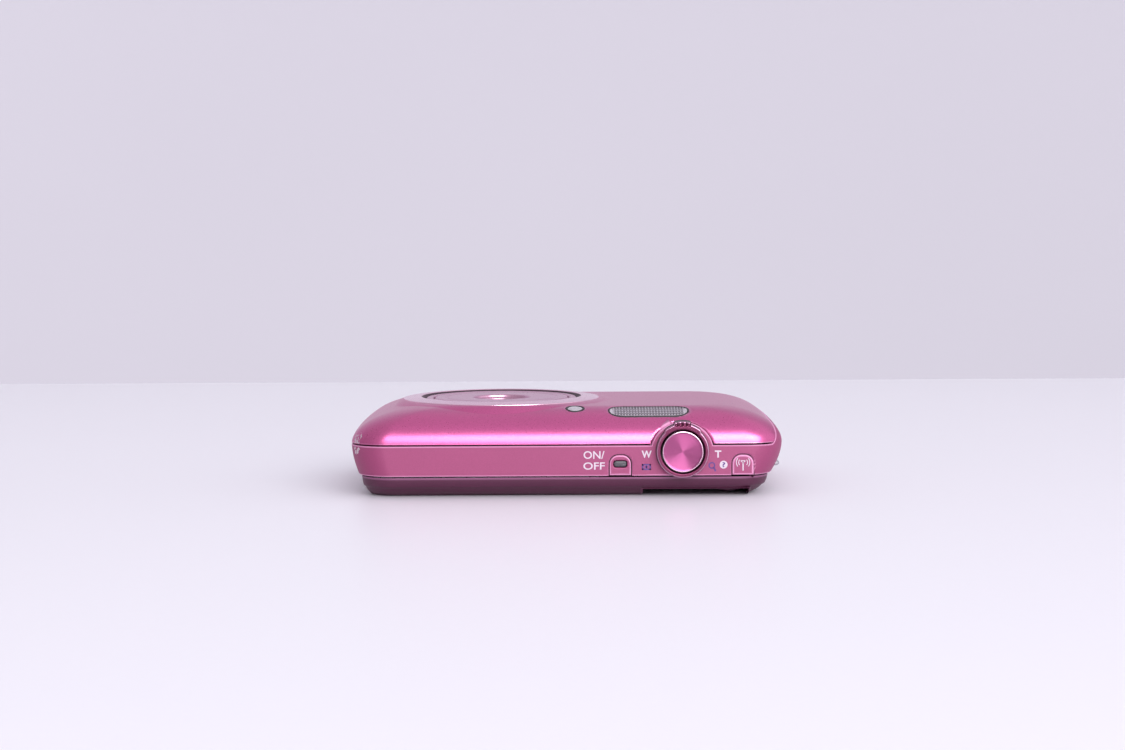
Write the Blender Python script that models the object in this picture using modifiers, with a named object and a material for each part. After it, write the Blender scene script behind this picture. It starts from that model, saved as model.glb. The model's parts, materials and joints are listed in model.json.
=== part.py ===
"""Compact digital camera lying on its back: lens up (+Z), top plate towards -Y, grip end towards +X.

The body is one soft-cornered form, described by its outline at every height.
The covers are shells of that form, split at the seams, and everything inside
and on it is placed from the same sizes. All sizes are in metres.
"""

import math

import bmesh
import bpy

MM = 0.001

# Overall body
BODY_WIDTH = 95.9 * MM
BODY_HEIGHT = 58.0 * MM
CROWN_Z = 19.2 * MM
SEAM_Z = 11.45 * MM
REAR_TOP = 4.55 * MM
CORNER = 7.5 * MM
END_BOW = 0.022

# The ends and edges that places are measured from
GRIP_X = BODY_WIDTH / 2
LENS_END_X = -BODY_WIDTH / 2
TOP_Y = -BODY_HEIGHT / 2
BASE_Y = BODY_HEIGHT / 2

# How far each zone leans in from the widest outline
FRONT_LEAN_LEFT = 18.5 * MM
FRONT_LEAN_RIGHT = 16.0 * MM
FRONT_LEAN_Y = 10.5 * MM
BELT_LEAN = 1.65 * MM
REAR_STEP = 0.55 * MM
REAR_LEAN_LEFT = 2.8 * MM
REAR_LEAN_RIGHT = 4.75 * MM
REAR_LEAN_Y = 5.8 * MM
SEAM_RISE = 2.75 * MM
GRIP_SEAM_RISE = 4.5 * MM
GRIP_SEAM_START = 4.35 * MM
GRIP_SEAM_RUN = 4.3 * MM
BASE_SEAM_START = -12.0 * MM
BASE_SEAM_RUN = 30.0 * MM

WALL = 1.2 * MM
METAL_WALL = 0.8 * MM
GAP = 0.3 * MM
SEAM_GAP = 0.3 * MM
COVER_SPLIT_Y = BASE_Y - 10.0 * MM

# Lens and its trim ring
LENS_X = LENS_END_X + 33.05 * MM
LENS_Y = 0.0
RING_RADIUS = 22.8 * MM
RING_CREST_RADIUS = 19.4 * MM
RING_CREST_Z = CROWN_Z + 0.9 * MM
RING_WALL_TOP = CROWN_Z - 0.1 * MM
RING_INNER_RADIUS = 17.75 * MM
RING_BASE_Z = CROWN_Z - 2.5 * MM
HOUSING_WALL = 1.45 * MM
HOUSING_RADIUS = RING_INNER_RADIUS + HOUSING_WALL
HOUSING_BASE_Z = 5.0 * MM
CAM_WALL = 0.8 * MM
CAM_TEETH = 76
GEAR_TEETH = 8
TOOTH_PITCH = (HOUSING_RADIUS + GAP + CAM_WALL + 0.6 * MM) * 2 * math.pi / CAM_TEETH
TOOTH_HEIGHT = 0.6 * MM
CAM_TURN = 90
MOTOR_RADIUS = 3.2 * MM
MOTOR_ANGLE = -43
BARREL_WALL = 1.7 * MM
BARREL_FLOOR_Z = 7.0 * MM
BARREL_FRONT_Z = CROWN_Z + 0.3 * MM
BARRIER_HOLE_RADIUS = 5.0 * MM
BARRIER_RECESS_RADIUS = 6.1 * MM
BLADE_PIVOT = 9.5 * MM
BLADE_THICKNESS = 0.5 * MM
PIVOT_PIN = 0.45 * MM

# Controls on the top plate
SHUTTER_X = GRIP_X - 22.95 * MM
SHUTTER_Z = 10.1 * MM
SHUTTER_RADIUS = 4.45 * MM
LEVER_WIDTH = 0.9 * MM
LEVER_RADIUS = SHUTTER_RADIUS + GAP + LEVER_WIDTH
LEVER_PROUD = 2.0 * MM
SHUTTER_PROUD = 2.2 * MM
TAB_REACH = LEVER_RADIUS + 0.85 * MM
TAB_WIDTH = 3.7 * MM
BOSS_RADIUS = LEVER_RADIUS + 1.1 * MM
BOSS_FOOT = 0.35 * MM
POWER_X = GRIP_X - 36.4 * MM
WIRELESS_X = GRIP_X - 9.85 * MM
KEY_WIDTH = 4.6 * MM
KEY_TOP_Z = 9.2 * MM
KEY_CORNER = 1.9 * MM

# Flash, lamp and microphone on the front
FLASH_X = GRIP_X - 30.05 * MM
FLASH_Y = TOP_Y + 6.0 * MM
FLASH_WIDTH = 17.4 * MM
FLASH_HEIGHT = 4.9 * MM
LAMP_X = GRIP_X - 46.1 * MM
LAMP_Y = TOP_Y + 7.4 * MM
LAMP_RADIUS = 2.05 * MM
MIC_X = GRIP_X - 33.95 * MM
MIC_Y = BASE_Y - 14.0 * MM
MIC_RADIUS = 2.0 * MM
CAPACITOR_RADIUS = 2.9 * MM
CAPACITOR_LENGTH = 26.0 * MM

# Back of the body
WINDOW_LEFT = LENS_END_X + 6.35 * MM
WINDOW_RIGHT = GRIP_X - 32.95 * MM
WINDOW_HALF_Y = BASE_Y - 7.6 * MM
WINDOW_THICKNESS = 0.9 * MM
DISPLAY_TOP = 3.3 * MM
PANEL_LEFT = WINDOW_RIGHT + 1.5 * MM
PANEL_RIGHT = GRIP_X - 8.35 * MM
GRIP_WALL_X = GRIP_X - 6.95 * MM
PANEL_DEPTH = 1.2 * MM
PANEL_FLOOR = 2 * PANEL_DEPTH
SELECTOR_X = GRIP_X - 18.95 * MM
SELECTOR_Y = 3.0 * MM
SELECTOR_RADIUS = 8.6 * MM
OK_RADIUS = 3.8 * MM
REAR_KEY_FACE = 0.5 * MM
REAR_KEY_SIZE = (6.6 * MM, 3.6 * MM)
KEY_COLUMN = 6.6 * MM
KEY_ROW = SELECTOR_RADIUS + 4.8 * MM
MOVIE_RADIUS = 2.5 * MM
MOVIE_X = SELECTOR_X + KEY_COLUMN
MOVIE_Y = SELECTOR_Y - KEY_ROW - 8.6 * MM
CHARGE_X = SELECTOR_X - KEY_COLUMN - 1.5 * MM
CHARGE_RADIUS = 0.8 * MM
KEY_BOARD_Z = PANEL_FLOOR + 0.9 * MM

# Battery, card and their door on the base
BATTERY_SIZE = (31.5 * MM, 39.5 * MM, 6.0 * MM)
BATTERY_LEFT = GRIP_X - 7.85 * MM - BATTERY_SIZE[0]
BATTERY_END_Y = BASE_Y - 2.8 * MM
BATTERY_Z = 4.75 * MM
CARD_SIZE = (24.0 * MM, 32.0 * MM, 2.1 * MM)
CHAMBER_WALL = 0.6 * MM
DOOR_LIP = 0.9 * MM
CATCH_X = BATTERY_LEFT + BATTERY_SIZE[0] / 2
TRIPOD_X = LENS_X + 12.9 * MM
TRIPOD_Z = 9.4 * MM
TRIPOD_RADIUS = 3.175 * MM
TRIPOD_WALL = 0.7 * MM
TRIPOD_DEPTH = 5.4 * MM
SCREW_RADIUS = 1.5 * MM
SPEAKER_X = LENS_END_X + 18.95 * MM
SPEAKER_HOLES = 5
SPEAKER_RADIUS = 3.4 * MM
SCREW_PLACES = (SPEAKER_X - 7.0 * MM, SPEAKER_X + 7.0 * MM)

# Grip end
CONNECTOR_Y = 1.0 * MM
CONNECTOR_LENGTH = 13.0 * MM
CONNECTOR_LOW_Z = 5.6 * MM
CONNECTOR_HIGH_Z = 11.0 * MM
CONNECTOR_MIDDLE_Z = (CONNECTOR_LOW_Z + CONNECTOR_HIGH_Z) / 2
HINGE_INSET = 0.25 * MM
EYELET_Y = TOP_Y + 13.5 * MM
EYELET_Z = 6.1 * MM
EYELET_SPAN = 5.0 * MM
EYELET_WIRE = 0.55 * MM

OUTWARD_TOP = (math.pi / 2, 0, 0)
OUTWARD_BASE = (-math.pi / 2, 0, 0)
OUTWARD_GRIP = (0, math.pi / 2, 0)


def clear_scene():
    for item in list(bpy.data.objects):
        bpy.data.objects.remove(item)


def new_collection(name):
    made = bpy.data.collections.new(name)
    bpy.context.scene.collection.children.link(made)
    return made


def make_material(name, colour, roughness, metallic=0.0):
    made = bpy.data.materials.new(name)
    made.use_nodes = True
    shader = made.node_tree.nodes["Principled BSDF"]
    shader.inputs["Base Color"].default_value = (*colour, 1)
    shader.inputs["Roughness"].default_value = roughness
    shader.inputs["Metallic"].default_value = metallic
    made.diffuse_color = (*colour, 1)
    return made


clear_scene()
CAMERA = new_collection("compact_camera")
CUTTERS = new_collection("cutters")
PINK_METAL = make_material("anodised_pink", (0.62, 0.10, 0.33), 0.32, 0.9)
PINK_PLASTIC = make_material("painted_pink", (0.50, 0.09, 0.27), 0.35, 0.3)
PLUM_PLASTIC = make_material("plum_plastic", (0.22, 0.05, 0.13), 0.4)
SILVER = make_material("bright_silver", (0.75, 0.68, 0.73), 0.2, 1.0)
BLACK = make_material("black_plastic", (0.02, 0.02, 0.02), 0.5)
GLASS = make_material("clear_window", (0.85, 0.87, 0.9), 0.05)
STEEL = make_material("steel", (0.55, 0.55, 0.57), 0.35, 1.0)
BOARD = make_material("green_board", (0.03, 0.16, 0.07), 0.5)
GREY = make_material("grey_plastic", (0.25, 0.25, 0.27), 0.5)
RUBBER = make_material("soft_rubber", (0.28, 0.06, 0.16), 0.8)


# --- Building blocks -------------------------------------------------------------


def add_mesh(name, mesh, material, place=(0, 0, 0), turn=(0, 0, 0)):
    made = bpy.data.objects.new(name, mesh)
    made.location = place
    made.rotation_euler = turn
    mesh.materials.clear()
    mesh.materials.append(material)
    mesh.shade_smooth()
    mesh.set_sharp_from_angle(angle=math.radians(35))
    CAMERA.objects.link(made)
    return made


def as_cutter(item):
    """Takes the object out of the camera and hides it, so that it only cuts or joins."""
    CAMERA.objects.unlink(item)
    CUTTERS.objects.link(item)
    item.hide_render = True
    item.display_type = "WIRE"
    return item


def combine(item, other, operation):
    boolean = item.modifiers.new(operation.lower(), "BOOLEAN")
    boolean.operation = operation
    boolean.object = other
    return item


def cut(item, *cutters):
    for cutter in cutters:
        combine(item, cutter, "DIFFERENCE")
    return item


def join(item, *others):
    for other in others:
        combine(item, as_cutter(other), "UNION")
    return item


def bevelled(item, width, segments=1):
    bevel = item.modifiers.new("bevel", "BEVEL")
    bevel.width = width
    bevel.segments = segments
    bevel.limit_method = "ANGLE"
    return item


def loft(rings, caps):
    """A mesh through rings of equal point count; without caps the last ring meets the first."""
    count = len(rings[0])
    points = [point for ring in rings for point in ring]
    faces = []
    for index in range(len(rings) if not caps else len(rings) - 1):
        low = index * count
        high = (index + 1) % len(rings) * count
        for side in range(count):
            following = (side + 1) % count
            faces.append((low + side, low + following, high + following, high + side))
    if caps:
        faces.append(tuple(reversed(range(count))))
        faces.append(tuple(range(len(points) - count, len(points))))
    mesh = bpy.data.meshes.new("loft")
    mesh.from_pydata(points, [], faces)
    return mesh


def box_mesh(size):
    bpy.ops.mesh.primitive_cube_add(size=1)
    cube = bpy.context.active_object
    mesh = cube.data
    bpy.data.objects.remove(cube)
    for vertex in mesh.vertices:
        vertex.co = [vertex.co[axis] * size[axis] for axis in range(3)]
    return mesh


def block(name, low, high, material, round_edge=0.0):
    """A box between two corners, with its origin at its middle."""
    size = [high[axis] - low[axis] for axis in range(3)]
    middle = [(high[axis] + low[axis]) / 2 for axis in range(3)]
    made = add_mesh(name, box_mesh(size), material, middle)
    return bevelled(made, round_edge) if round_edge else made


def box_cutter(name, low, high):
    return as_cutter(block(name, low, high, STEEL))


def rod(name, radius, length, material, place, turn=(0, 0, 0), sides=24):
    """A cylinder standing on its place along its own Z."""
    bpy.ops.mesh.primitive_cylinder_add(vertices=sides, radius=radius, depth=length)
    cylinder = bpy.context.active_object
    mesh = cylinder.data
    bpy.data.objects.remove(cylinder)
    for vertex in mesh.vertices:
        vertex.co.z += length / 2
    return add_mesh(name, mesh, material, place, turn)


def rod_cutter(name, radius, length, place, turn=(0, 0, 0), sides=24):
    return as_cutter(rod(name, radius, length, STEEL, place, turn, sides))


def turned(name, profile, material, place, turn=(0, 0, 0), steps=32, closed=False):
    """A lathe-turned piece: (radius, height) pairs down the outer side, then up the bore if closed."""
    mesh = bpy.data.meshes.new(name)
    edges = [(index, index + 1) for index in range(len(profile) - 1)]
    if closed:
        edges.append((len(profile) - 1, 0))
    mesh.from_pydata([(radius, 0, height) for radius, height in profile], edges, [])
    made = add_mesh(name, mesh, material, place, turn)
    screw = made.modifiers.new("turn", "SCREW")
    screw.steps = steps
    screw.render_steps = steps
    screw.use_merge_vertices = True
    screw.merge_threshold = 0.00001
    screw.use_smooth_shade = True
    return made


def tube(name, outer, inner, low, high, material, place, turn=(0, 0, 0), steps=32):
    profile = [(outer, high), (outer, low), (inner, low), (inner, high)]
    return turned(name, profile, material, place, turn, steps, closed=True)


def prism(name, outline, low, high, material, place, turn=(0, 0, 0)):
    """A flat outline in the piece's own XY, extruded from low to high along its own Z."""
    curve = bpy.data.curves.new(name, "CURVE")
    curve.dimensions = "2D"
    curve.fill_mode = "BOTH"
    curve.extrude = (high - low) / 2
    spline = curve.splines.new("POLY")
    spline.points.add(len(outline) - 1)
    for point, (x, y) in zip(spline.points, outline):
        point.co = (x, y, 0, 1)
    spline.use_cyclic_u = True
    flat = bpy.data.objects.new(name, curve)
    CAMERA.objects.link(flat)
    return mesh_from_curve(flat, material, place, turn, (low + high) / 2)


def mesh_from_curve(flat, material, place, turn, lift=0.0):
    """The curve object's evaluated shape as a mesh object with its caps welded on."""

    graph = bpy.context.evaluated_depsgraph_get()
    mesh = bpy.data.meshes.new_from_object(flat.evaluated_get(graph))
    name = flat.name
    curve = flat.data
    bpy.data.objects.remove(flat)
    bpy.data.curves.remove(curve)
    welded = bmesh.new()
    welded.from_mesh(mesh)
    bmesh.ops.remove_doubles(welded, verts=welded.verts, dist=0.000002)
    bmesh.ops.translate(welded, verts=welded.verts, vec=(0, 0, lift))
    bmesh.ops.recalc_face_normals(welded, faces=welded.faces)
    welded.to_mesh(mesh)
    welded.free()
    return add_mesh(name, mesh, material, place, turn)


def arc(centre, radius, start, end, steps):
    """Points from one angle to another, in degrees, both ends included."""
    return [
        (
            centre[0] + radius * math.cos(math.radians(start + (end - start) * step / steps)),
            centre[1] + radius * math.sin(math.radians(start + (end - start) * step / steps)),
        )
        for step in range(steps + 1)
    ]


def rounded_rectangle(width, height, radius, steps=4):
    x, y = width / 2 - radius, height / 2 - radius
    return (
        arc((x, y), radius, 0, 90, steps)
        + arc((-x, y), radius, 90, 180, steps)
        + arc((-x, -y), radius, 180, 270, steps)
        + arc((x, -y), radius, 270, 360, steps)
    )


def key_outline(width, low, high, radius):
    """A key with a flat lower edge and two large upper corners."""
    x = width / 2 - radius
    upper = arc((x, high - radius), radius, 0, 90, 5) + arc((-x, high - radius), radius, 90, 180, 5)
    return [(width / 2, low), *upper, (-width / 2, low)]


# --- The body form ---------------------------------------------------------------

CORNER_STEPS = 6
END_POINTS = 3
SIDE_POINTS = 5


def section(z, wall=0.0):
    """Left and right reach, half height and corner radius of the body at height z, inset by wall."""
    if z > SEAM_Z:
        rise = (z - SEAM_Z) / (CROWN_Z - wall - SEAM_Z)
        lean = 1 - math.sqrt(max(0.0, 1 - min(rise, 1.0) ** 2))
        left = GRIP_X - FRONT_LEAN_LEFT * lean
        right = GRIP_X - FRONT_LEAN_RIGHT * lean
        half_y = BODY_HEIGHT / 2 - FRONT_LEAN_Y * lean
        corner = CORNER - 0.4 * CORNER * lean
    elif z > REAR_TOP:
        lean = ((SEAM_Z - z) / (SEAM_Z - REAR_TOP)) ** 1.8
        left = right = GRIP_X - BELT_LEAN * lean
        half_y = BODY_HEIGHT / 2
        corner = CORNER
    else:
        fall = (REAR_TOP - z) / (REAR_TOP - wall)
        lean = 1 - math.sqrt(max(0.0, 1 - min(fall, 1.0) ** 2))
        step_x = GRIP_X - BELT_LEAN - REAR_STEP
        left = step_x - REAR_LEAN_LEFT * lean
        right = step_x - REAR_LEAN_RIGHT * lean
        half_y = BODY_HEIGHT / 2 - REAR_STEP - REAR_LEAN_Y * lean
        corner = CORNER - REAR_STEP - 0.25 * CORNER * lean
    return left - wall, right - wall, half_y - wall, max(corner - wall, MM)


def between(start, end, count):
    return [
        (
            start[0] + (end[0] - start[0]) * step / (count + 1),
            start[1] + (end[1] - start[1]) * step / (count + 1),
        )
        for step in range(1, count + 1)
    ]


def outline(z, wall=0.0):
    """Points round the body at height z, anticlockwise from the grip end."""
    left, right, half_y, corner = section(z, wall)
    centres = (
        (right - corner, half_y - corner),
        (-left + corner, half_y - corner),
        (-left + corner, -half_y + corner),
        (right - corner, -half_y + corner),
    )
    arcs = [arc(centres[n], corner, 90 * n, 90 * n + 90, CORNER_STEPS) for n in range(4)]
    points = []
    for n in range(4):
        points += arcs[n]
        inner = SIDE_POINTS if n % 2 == 0 else END_POINTS
        points += between(arcs[n][-1], arcs[(n + 1) % 4][0], inner)
    return [(x * (1 - END_BOW * (y / BASE_Y) ** 2), y) for x, y in points]


def smooth_step(value):
    value = min(max(value, 0.0), 1.0)
    return value * value * (3 - 2 * value)


def seam_height(x, y):
    """The front seam: low along the top plate, higher round the grip end and along the base."""
    grip = smooth_step((x - GRIP_X + GRIP_SEAM_START) / GRIP_SEAM_RUN)
    base = smooth_step((y - BASE_SEAM_START) / BASE_SEAM_RUN)
    return SEAM_Z + max(GRIP_SEAM_RISE * grip, SEAM_RISE * base)


def body_ring(height, wall=0.0):
    """One ring on the body form; height gives z from a point's place on the seam."""
    heights = [height(*point) for point in outline(SEAM_Z)]
    return [(*outline(z, wall)[index], z) for index, z in enumerate(heights)]


def flat_ring(z, wall=0.0):
    return [(x, y, z) for x, y in outline(z, wall)]


def crown_rings(wall, steps, offset):
    """Rings from the seam to the crown, closer together where the form turns most."""
    crown = CROWN_Z - wall

    def ring(turn):
        def height(x, y):
            seam = seam_height(x, y) + offset
            start = math.asin((seam - SEAM_Z) / (crown - SEAM_Z))
            return SEAM_Z + (crown - SEAM_Z) * math.sin(start + (math.pi / 2 - start) * turn)

        return body_ring(height, wall)

    return [ring(step / steps) for step in range(steps + 1)]


# --- Covers ----------------------------------------------------------------------


def lens_cutter():
    return rod_cutter(
        "lens_cutter", RING_RADIUS + GAP, CROWN_Z, (LENS_X, LENS_Y, SEAM_Z), sides=64
    )


def boss_outline(extra, low):
    """The arch round the zoom lever, in the top plate's own X and Z from the shutter's centre."""
    radius = BOSS_RADIUS + extra
    squash = (BOSS_RADIUS - 0.55 * MM + extra) / radius
    arch = [(x, y * squash) for x, y in arc((0, 0), radius, 0, 180, 16)]
    return [(radius, low), *arch, (-radius, low)]


def flash_outline(extra=0.0):
    """A long window with pointed ends."""
    half_x, half_y = FLASH_WIDTH / 2 + extra, FLASH_HEIGHT / 2 + extra
    tip, shoulder = 0.28 * FLASH_HEIGHT, 0.42 * FLASH_HEIGHT
    corners = [(half_x, tip), (half_x - shoulder, half_y), (-half_x + shoulder, half_y), (-half_x, tip)]
    return corners + [(-x, -y) for x, y in corners]


def front_cover():
    outer = crown_rings(0.0, 7, SEAM_GAP / 2)
    inner = crown_rings(METAL_WALL, 6, SEAM_GAP / 2)
    cover = add_mesh("front_cover", loft(list(reversed(inner)) + outer, True), PINK_METAL)
    notch = prism(
        "zoom_notch", boss_outline(GAP, -2 * MM), -6 * MM, 4 * MM, STEEL,
        (SHUTTER_X, TOP_Y, SHUTTER_Z), OUTWARD_TOP,
    )
    flash = prism(
        "flash_hole", flash_outline(GAP), 0, CROWN_Z, STEEL, (FLASH_X, FLASH_Y, SEAM_Z)
    )
    lamp = rod_cutter("lamp_hole", LAMP_RADIUS + GAP, CROWN_Z, (LAMP_X, LAMP_Y, SEAM_Z))
    sound = rod_cutter("sound_hole", 0.4 * MM, CROWN_Z, (MIC_X, MIC_Y, SEAM_Z), sides=8)
    return cut(cover, lens_cutter(), as_cutter(notch), as_cutter(flash), lamp, sound)


def belt_mesh(low, lower_gap):
    """The band between the rear cover and the front seam, as a closed tube."""

    def part_way(share):
        def height(x, y):
            top = seam_height(x, y) - lower_gap
            return low + (top - low) * share

        return height

    shares = (0.0, 0.35, 0.7, 1.0)
    outer = [body_ring(part_way(share)) for share in shares]
    inner = [body_ring(part_way(share), WALL) for share in reversed(shares)]
    return loft(inner + outer, False)


BELT_LOW_Z = REAR_TOP + SEAM_GAP / 2


def key_cutter(name, x):
    outline_points = key_outline(
        KEY_WIDTH + 2 * GAP, REAR_TOP - MM, KEY_TOP_Z + GAP, KEY_CORNER + GAP
    )
    made = prism(name, outline_points, -2 * WALL, WALL, STEEL, (x, TOP_Y, 0), OUTWARD_TOP)
    return as_cutter(made)


def connector_window(extra):
    """The connector cover's place in the grip end, as two corners."""
    low = (GRIP_WALL_X, CONNECTOR_Y - CONNECTOR_LENGTH / 2 - extra, CONNECTOR_LOW_Z - extra)
    high = (GRIP_X + MM, CONNECTOR_Y + CONNECTOR_LENGTH / 2 + extra, CONNECTOR_HIGH_Z + extra)
    return low, high


def top_cover():
    """Top plate with both end bands and the raised arch behind the zoom lever."""
    cover = add_mesh("top_cover", belt_mesh(BELT_LOW_Z, SEAM_GAP / 2), PINK_PLASTIC)
    boss = prism(
        "zoom_boss", boss_outline(0, BELT_LOW_Z + BOSS_FOOT - SHUTTER_Z), -3.4 * MM, 0.0, PINK_PLASTIC,
        (SHUTTER_X, TOP_Y, SHUTTER_Z), OUTWARD_TOP,
    )
    join(cover, boss)
    below = box_cutter(
        "base_half", (-BODY_WIDTH, COVER_SPLIT_Y, 0), (BODY_WIDTH, BODY_HEIGHT, 2 * CROWN_Z)
    )
    shaft = rod_cutter(
        "lever_hole", SHUTTER_RADIUS + GAP, 8 * MM, (SHUTTER_X, TOP_Y + 5 * MM, SHUTTER_Z), OUTWARD_TOP, 32
    )
    eyelet = box_cutter(
        "eyelet_slot",
        (GRIP_WALL_X + 2 * MM, EYELET_Y - EYELET_SPAN / 2 - 1.1 * MM, BELT_LOW_Z - MM),
        (GRIP_X + MM, EYELET_Y + EYELET_SPAN / 2 + 1.1 * MM, EYELET_Z + 1.1 * MM),
    )
    connector = box_cutter("connector_hole", *connector_window(GAP))
    keys = [key_cutter("power_hole", POWER_X), key_cutter("wireless_hole", WIRELESS_X)]
    return cut(cover, below, shaft, eyelet, connector, *keys)


def door_window(extra):
    """The battery door's place in the base, as two corners."""
    left = BATTERY_LEFT - 0.5 * MM
    right = BATTERY_LEFT + BATTERY_SIZE[0] + 0.5 * MM
    low = (left - extra, BASE_Y - 2 * WALL, BELT_LOW_Z + DOOR_LIP - extra)
    high = (right + extra, BASE_Y + MM, SEAM_Z + SEAM_RISE - 0.75 * MM + extra)
    return low, high


def base_cover():
    cover = add_mesh("base_cover", belt_mesh(BELT_LOW_Z, SEAM_GAP / 2), PINK_PLASTIC)
    above = box_cutter(
        "top_half", (-BODY_WIDTH, -BODY_HEIGHT, 0), (BODY_WIDTH, COVER_SPLIT_Y + GAP, 2 * CROWN_Z)
    )
    door = box_cutter("door_hole", *door_window(GAP))
    tripod = rod_cutter(
        "tripod_hole", TRIPOD_RADIUS + TRIPOD_WALL + GAP, 3 * WALL,
        (TRIPOD_X, BASE_Y - 2 * WALL, TRIPOD_Z), OUTWARD_BASE, 32,
    )
    cutters = [above, door, tripod]
    for index, x in enumerate(SCREW_PLACES):
        place = (x, BASE_Y - 2 * WALL, TRIPOD_Z)
        cutters.append(rod_cutter(f"screw_hole_{index}", SCREW_RADIUS + GAP, 3 * WALL, place, OUTWARD_BASE, 16))
    for index in range(SPEAKER_HOLES):
        x = SPEAKER_X + (index - (SPEAKER_HOLES - 1) / 2) * 1.3 * MM
        place = (x, BASE_Y - 2 * WALL, TRIPOD_Z)
        cutters.append(rod_cutter(f"speaker_hole_{index}", 0.4 * MM, 3 * WALL, place, OUTWARD_BASE, 8))
    return cut(cover, *cutters)


def rear_key_places():
    """Name, centre and half size of each key on the back, apart from the round ones."""
    low, high = SELECTOR_Y - KEY_ROW, SELECTOR_Y + KEY_ROW
    return {
        "mode_button": (SELECTOR_X - KEY_COLUMN, low),
        "playback_button": (SELECTOR_X + KEY_COLUMN, low),
        "menu_button": (SELECTOR_X - KEY_COLUMN, high),
        "delete_button": (SELECTOR_X + KEY_COLUMN, high),
    }


def rear_cover():
    steps = 5
    turns = [math.pi / 2 * step / steps for step in range(steps + 1)]
    outer = [flat_ring(REAR_TOP - SEAM_GAP / 2 - (REAR_TOP - SEAM_GAP / 2) * math.sin(turn)) for turn in turns]
    floor = REAR_TOP - SEAM_GAP / 2 - WALL
    inner = [flat_ring(REAR_TOP - SEAM_GAP / 2 - floor * math.sin(turn), WALL) for turn in turns]
    rings = list(reversed(outer)) + inner
    cover = add_mesh("rear_cover", loft(rings, True), PLUM_PLASTIC)
    plate = block(
        "panel_plate", (PANEL_LEFT - WALL, TOP_Y + 3.8 * MM, WALL - 0.2 * MM),
        (PANEL_RIGHT + 1.0 * MM, BASE_Y - 3.8 * MM, PANEL_FLOOR), PLUM_PLASTIC,
    )
    join(cover, plate)
    window = box_cutter(
        "window_hole", (WINDOW_LEFT - GAP, -WINDOW_HALF_Y - GAP, -MM),
        (WINDOW_RIGHT + GAP, WINDOW_HALF_Y + GAP, REAR_TOP),
    )
    panel = box_cutter(
        "panel_recess", (PANEL_LEFT, -BODY_HEIGHT, -MM), (PANEL_RIGHT, BODY_HEIGHT, PANEL_DEPTH)
    )
    cutters = [window, panel]
    round_holes = (
        ("selector_hole", SELECTOR_X, SELECTOR_Y, SELECTOR_RADIUS, 40),
        ("movie_hole", MOVIE_X, MOVIE_Y, MOVIE_RADIUS, 24),
        ("charge_hole", CHARGE_X, MOVIE_Y, CHARGE_RADIUS, 12),
    )
    for name, x, y, radius, sides in round_holes:
        cutters.append(rod_cutter(name, radius + GAP, 2 * REAR_TOP, (x, y, -MM), sides=sides))
    for name, (x, y) in rear_key_places().items():
        size = [side + 2 * GAP for side in REAR_KEY_SIZE]
        hole = prism(name + "_hole", rounded_rectangle(*size, 1.5 * MM, 3), -MM, REAR_TOP, STEEL, (x, y, 0))
        cutters.append(as_cutter(hole))
    return cut(cover, *cutters)


# --- Lens ------------------------------------------------------------------------


def lens_place(z=0.0):
    return (LENS_X, LENS_Y, z)


def lens_ring():
    profile = [
        (RING_CREST_RADIUS - 0.5 * MM, RING_CREST_Z),
        (RING_CREST_RADIUS, RING_CREST_Z),
        (RING_RADIUS - 0.3 * MM, RING_WALL_TOP + 0.2 * MM),
        (RING_RADIUS, RING_WALL_TOP),
        (RING_RADIUS, RING_BASE_Z),
        (RING_INNER_RADIUS, RING_BASE_Z),
        (RING_INNER_RADIUS, RING_CREST_Z - 0.5 * MM),
    ]
    return turned("lens_ring", profile, SILVER, lens_place(), steps=56, closed=True)


BARREL_RADIUS = RING_INNER_RADIUS - 0.4 * MM
INNER_BARREL_RADIUS = BARREL_RADIUS - BARREL_WALL - GAP
INNER_BORE = INNER_BARREL_RADIUS - 1.6 * MM
CAP_BACK_Z = 18.2 * MM
BARRIER_BASE_Z = 16.3 * MM
BLADE_Z = CAP_BACK_Z - GAP - BLADE_THICKNESS


def lens_housing():
    """Fixed outer tube with a flange, and a floor with the sensor's opening."""
    top = RING_BASE_Z - GAP
    bore = BARREL_RADIUS + 0.4 * MM
    profile = [
        (HOUSING_RADIUS, top), (HOUSING_RADIUS, HOUSING_BASE_Z), (6.5 * MM, HOUSING_BASE_Z),
        (6.5 * MM, HOUSING_BASE_Z + MM), (bore, HOUSING_BASE_Z + MM), (bore, top),
    ]
    return turned("lens_housing", profile, BLACK, lens_place(), steps=48, closed=True)


def outer_barrel():
    profile = [
        (BARREL_RADIUS - 0.25 * MM, BARREL_FRONT_Z), (BARREL_RADIUS, BARREL_FRONT_Z - 0.25 * MM),
        (BARREL_RADIUS, BARREL_FLOOR_Z), (BARREL_RADIUS - BARREL_WALL, BARREL_FLOOR_Z),
        (BARREL_RADIUS - BARREL_WALL, BARREL_FRONT_Z),
    ]
    return turned("outer_barrel", profile, SILVER, lens_place(), steps=48, closed=True)


def inner_barrel():
    """Front cap with the barrier's opening, and the tube behind it."""
    front = BARREL_FRONT_Z
    profile = [
        (INNER_BARREL_RADIUS - 0.3 * MM, front), (INNER_BARREL_RADIUS, front - 0.3 * MM),
        (INNER_BARREL_RADIUS, BARREL_FLOOR_Z + GAP), (INNER_BORE, BARREL_FLOOR_Z + GAP),
        (INNER_BORE, CAP_BACK_Z), (BARRIER_HOLE_RADIUS, CAP_BACK_Z),
        (BARRIER_HOLE_RADIUS, front - 0.7 * MM), (BARRIER_RECESS_RADIUS, front - 0.5 * MM),
        (BARRIER_RECESS_RADIUS, front),
    ]
    return turned("inner_barrel", profile, PINK_METAL, lens_place(), steps=48, closed=True)


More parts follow.
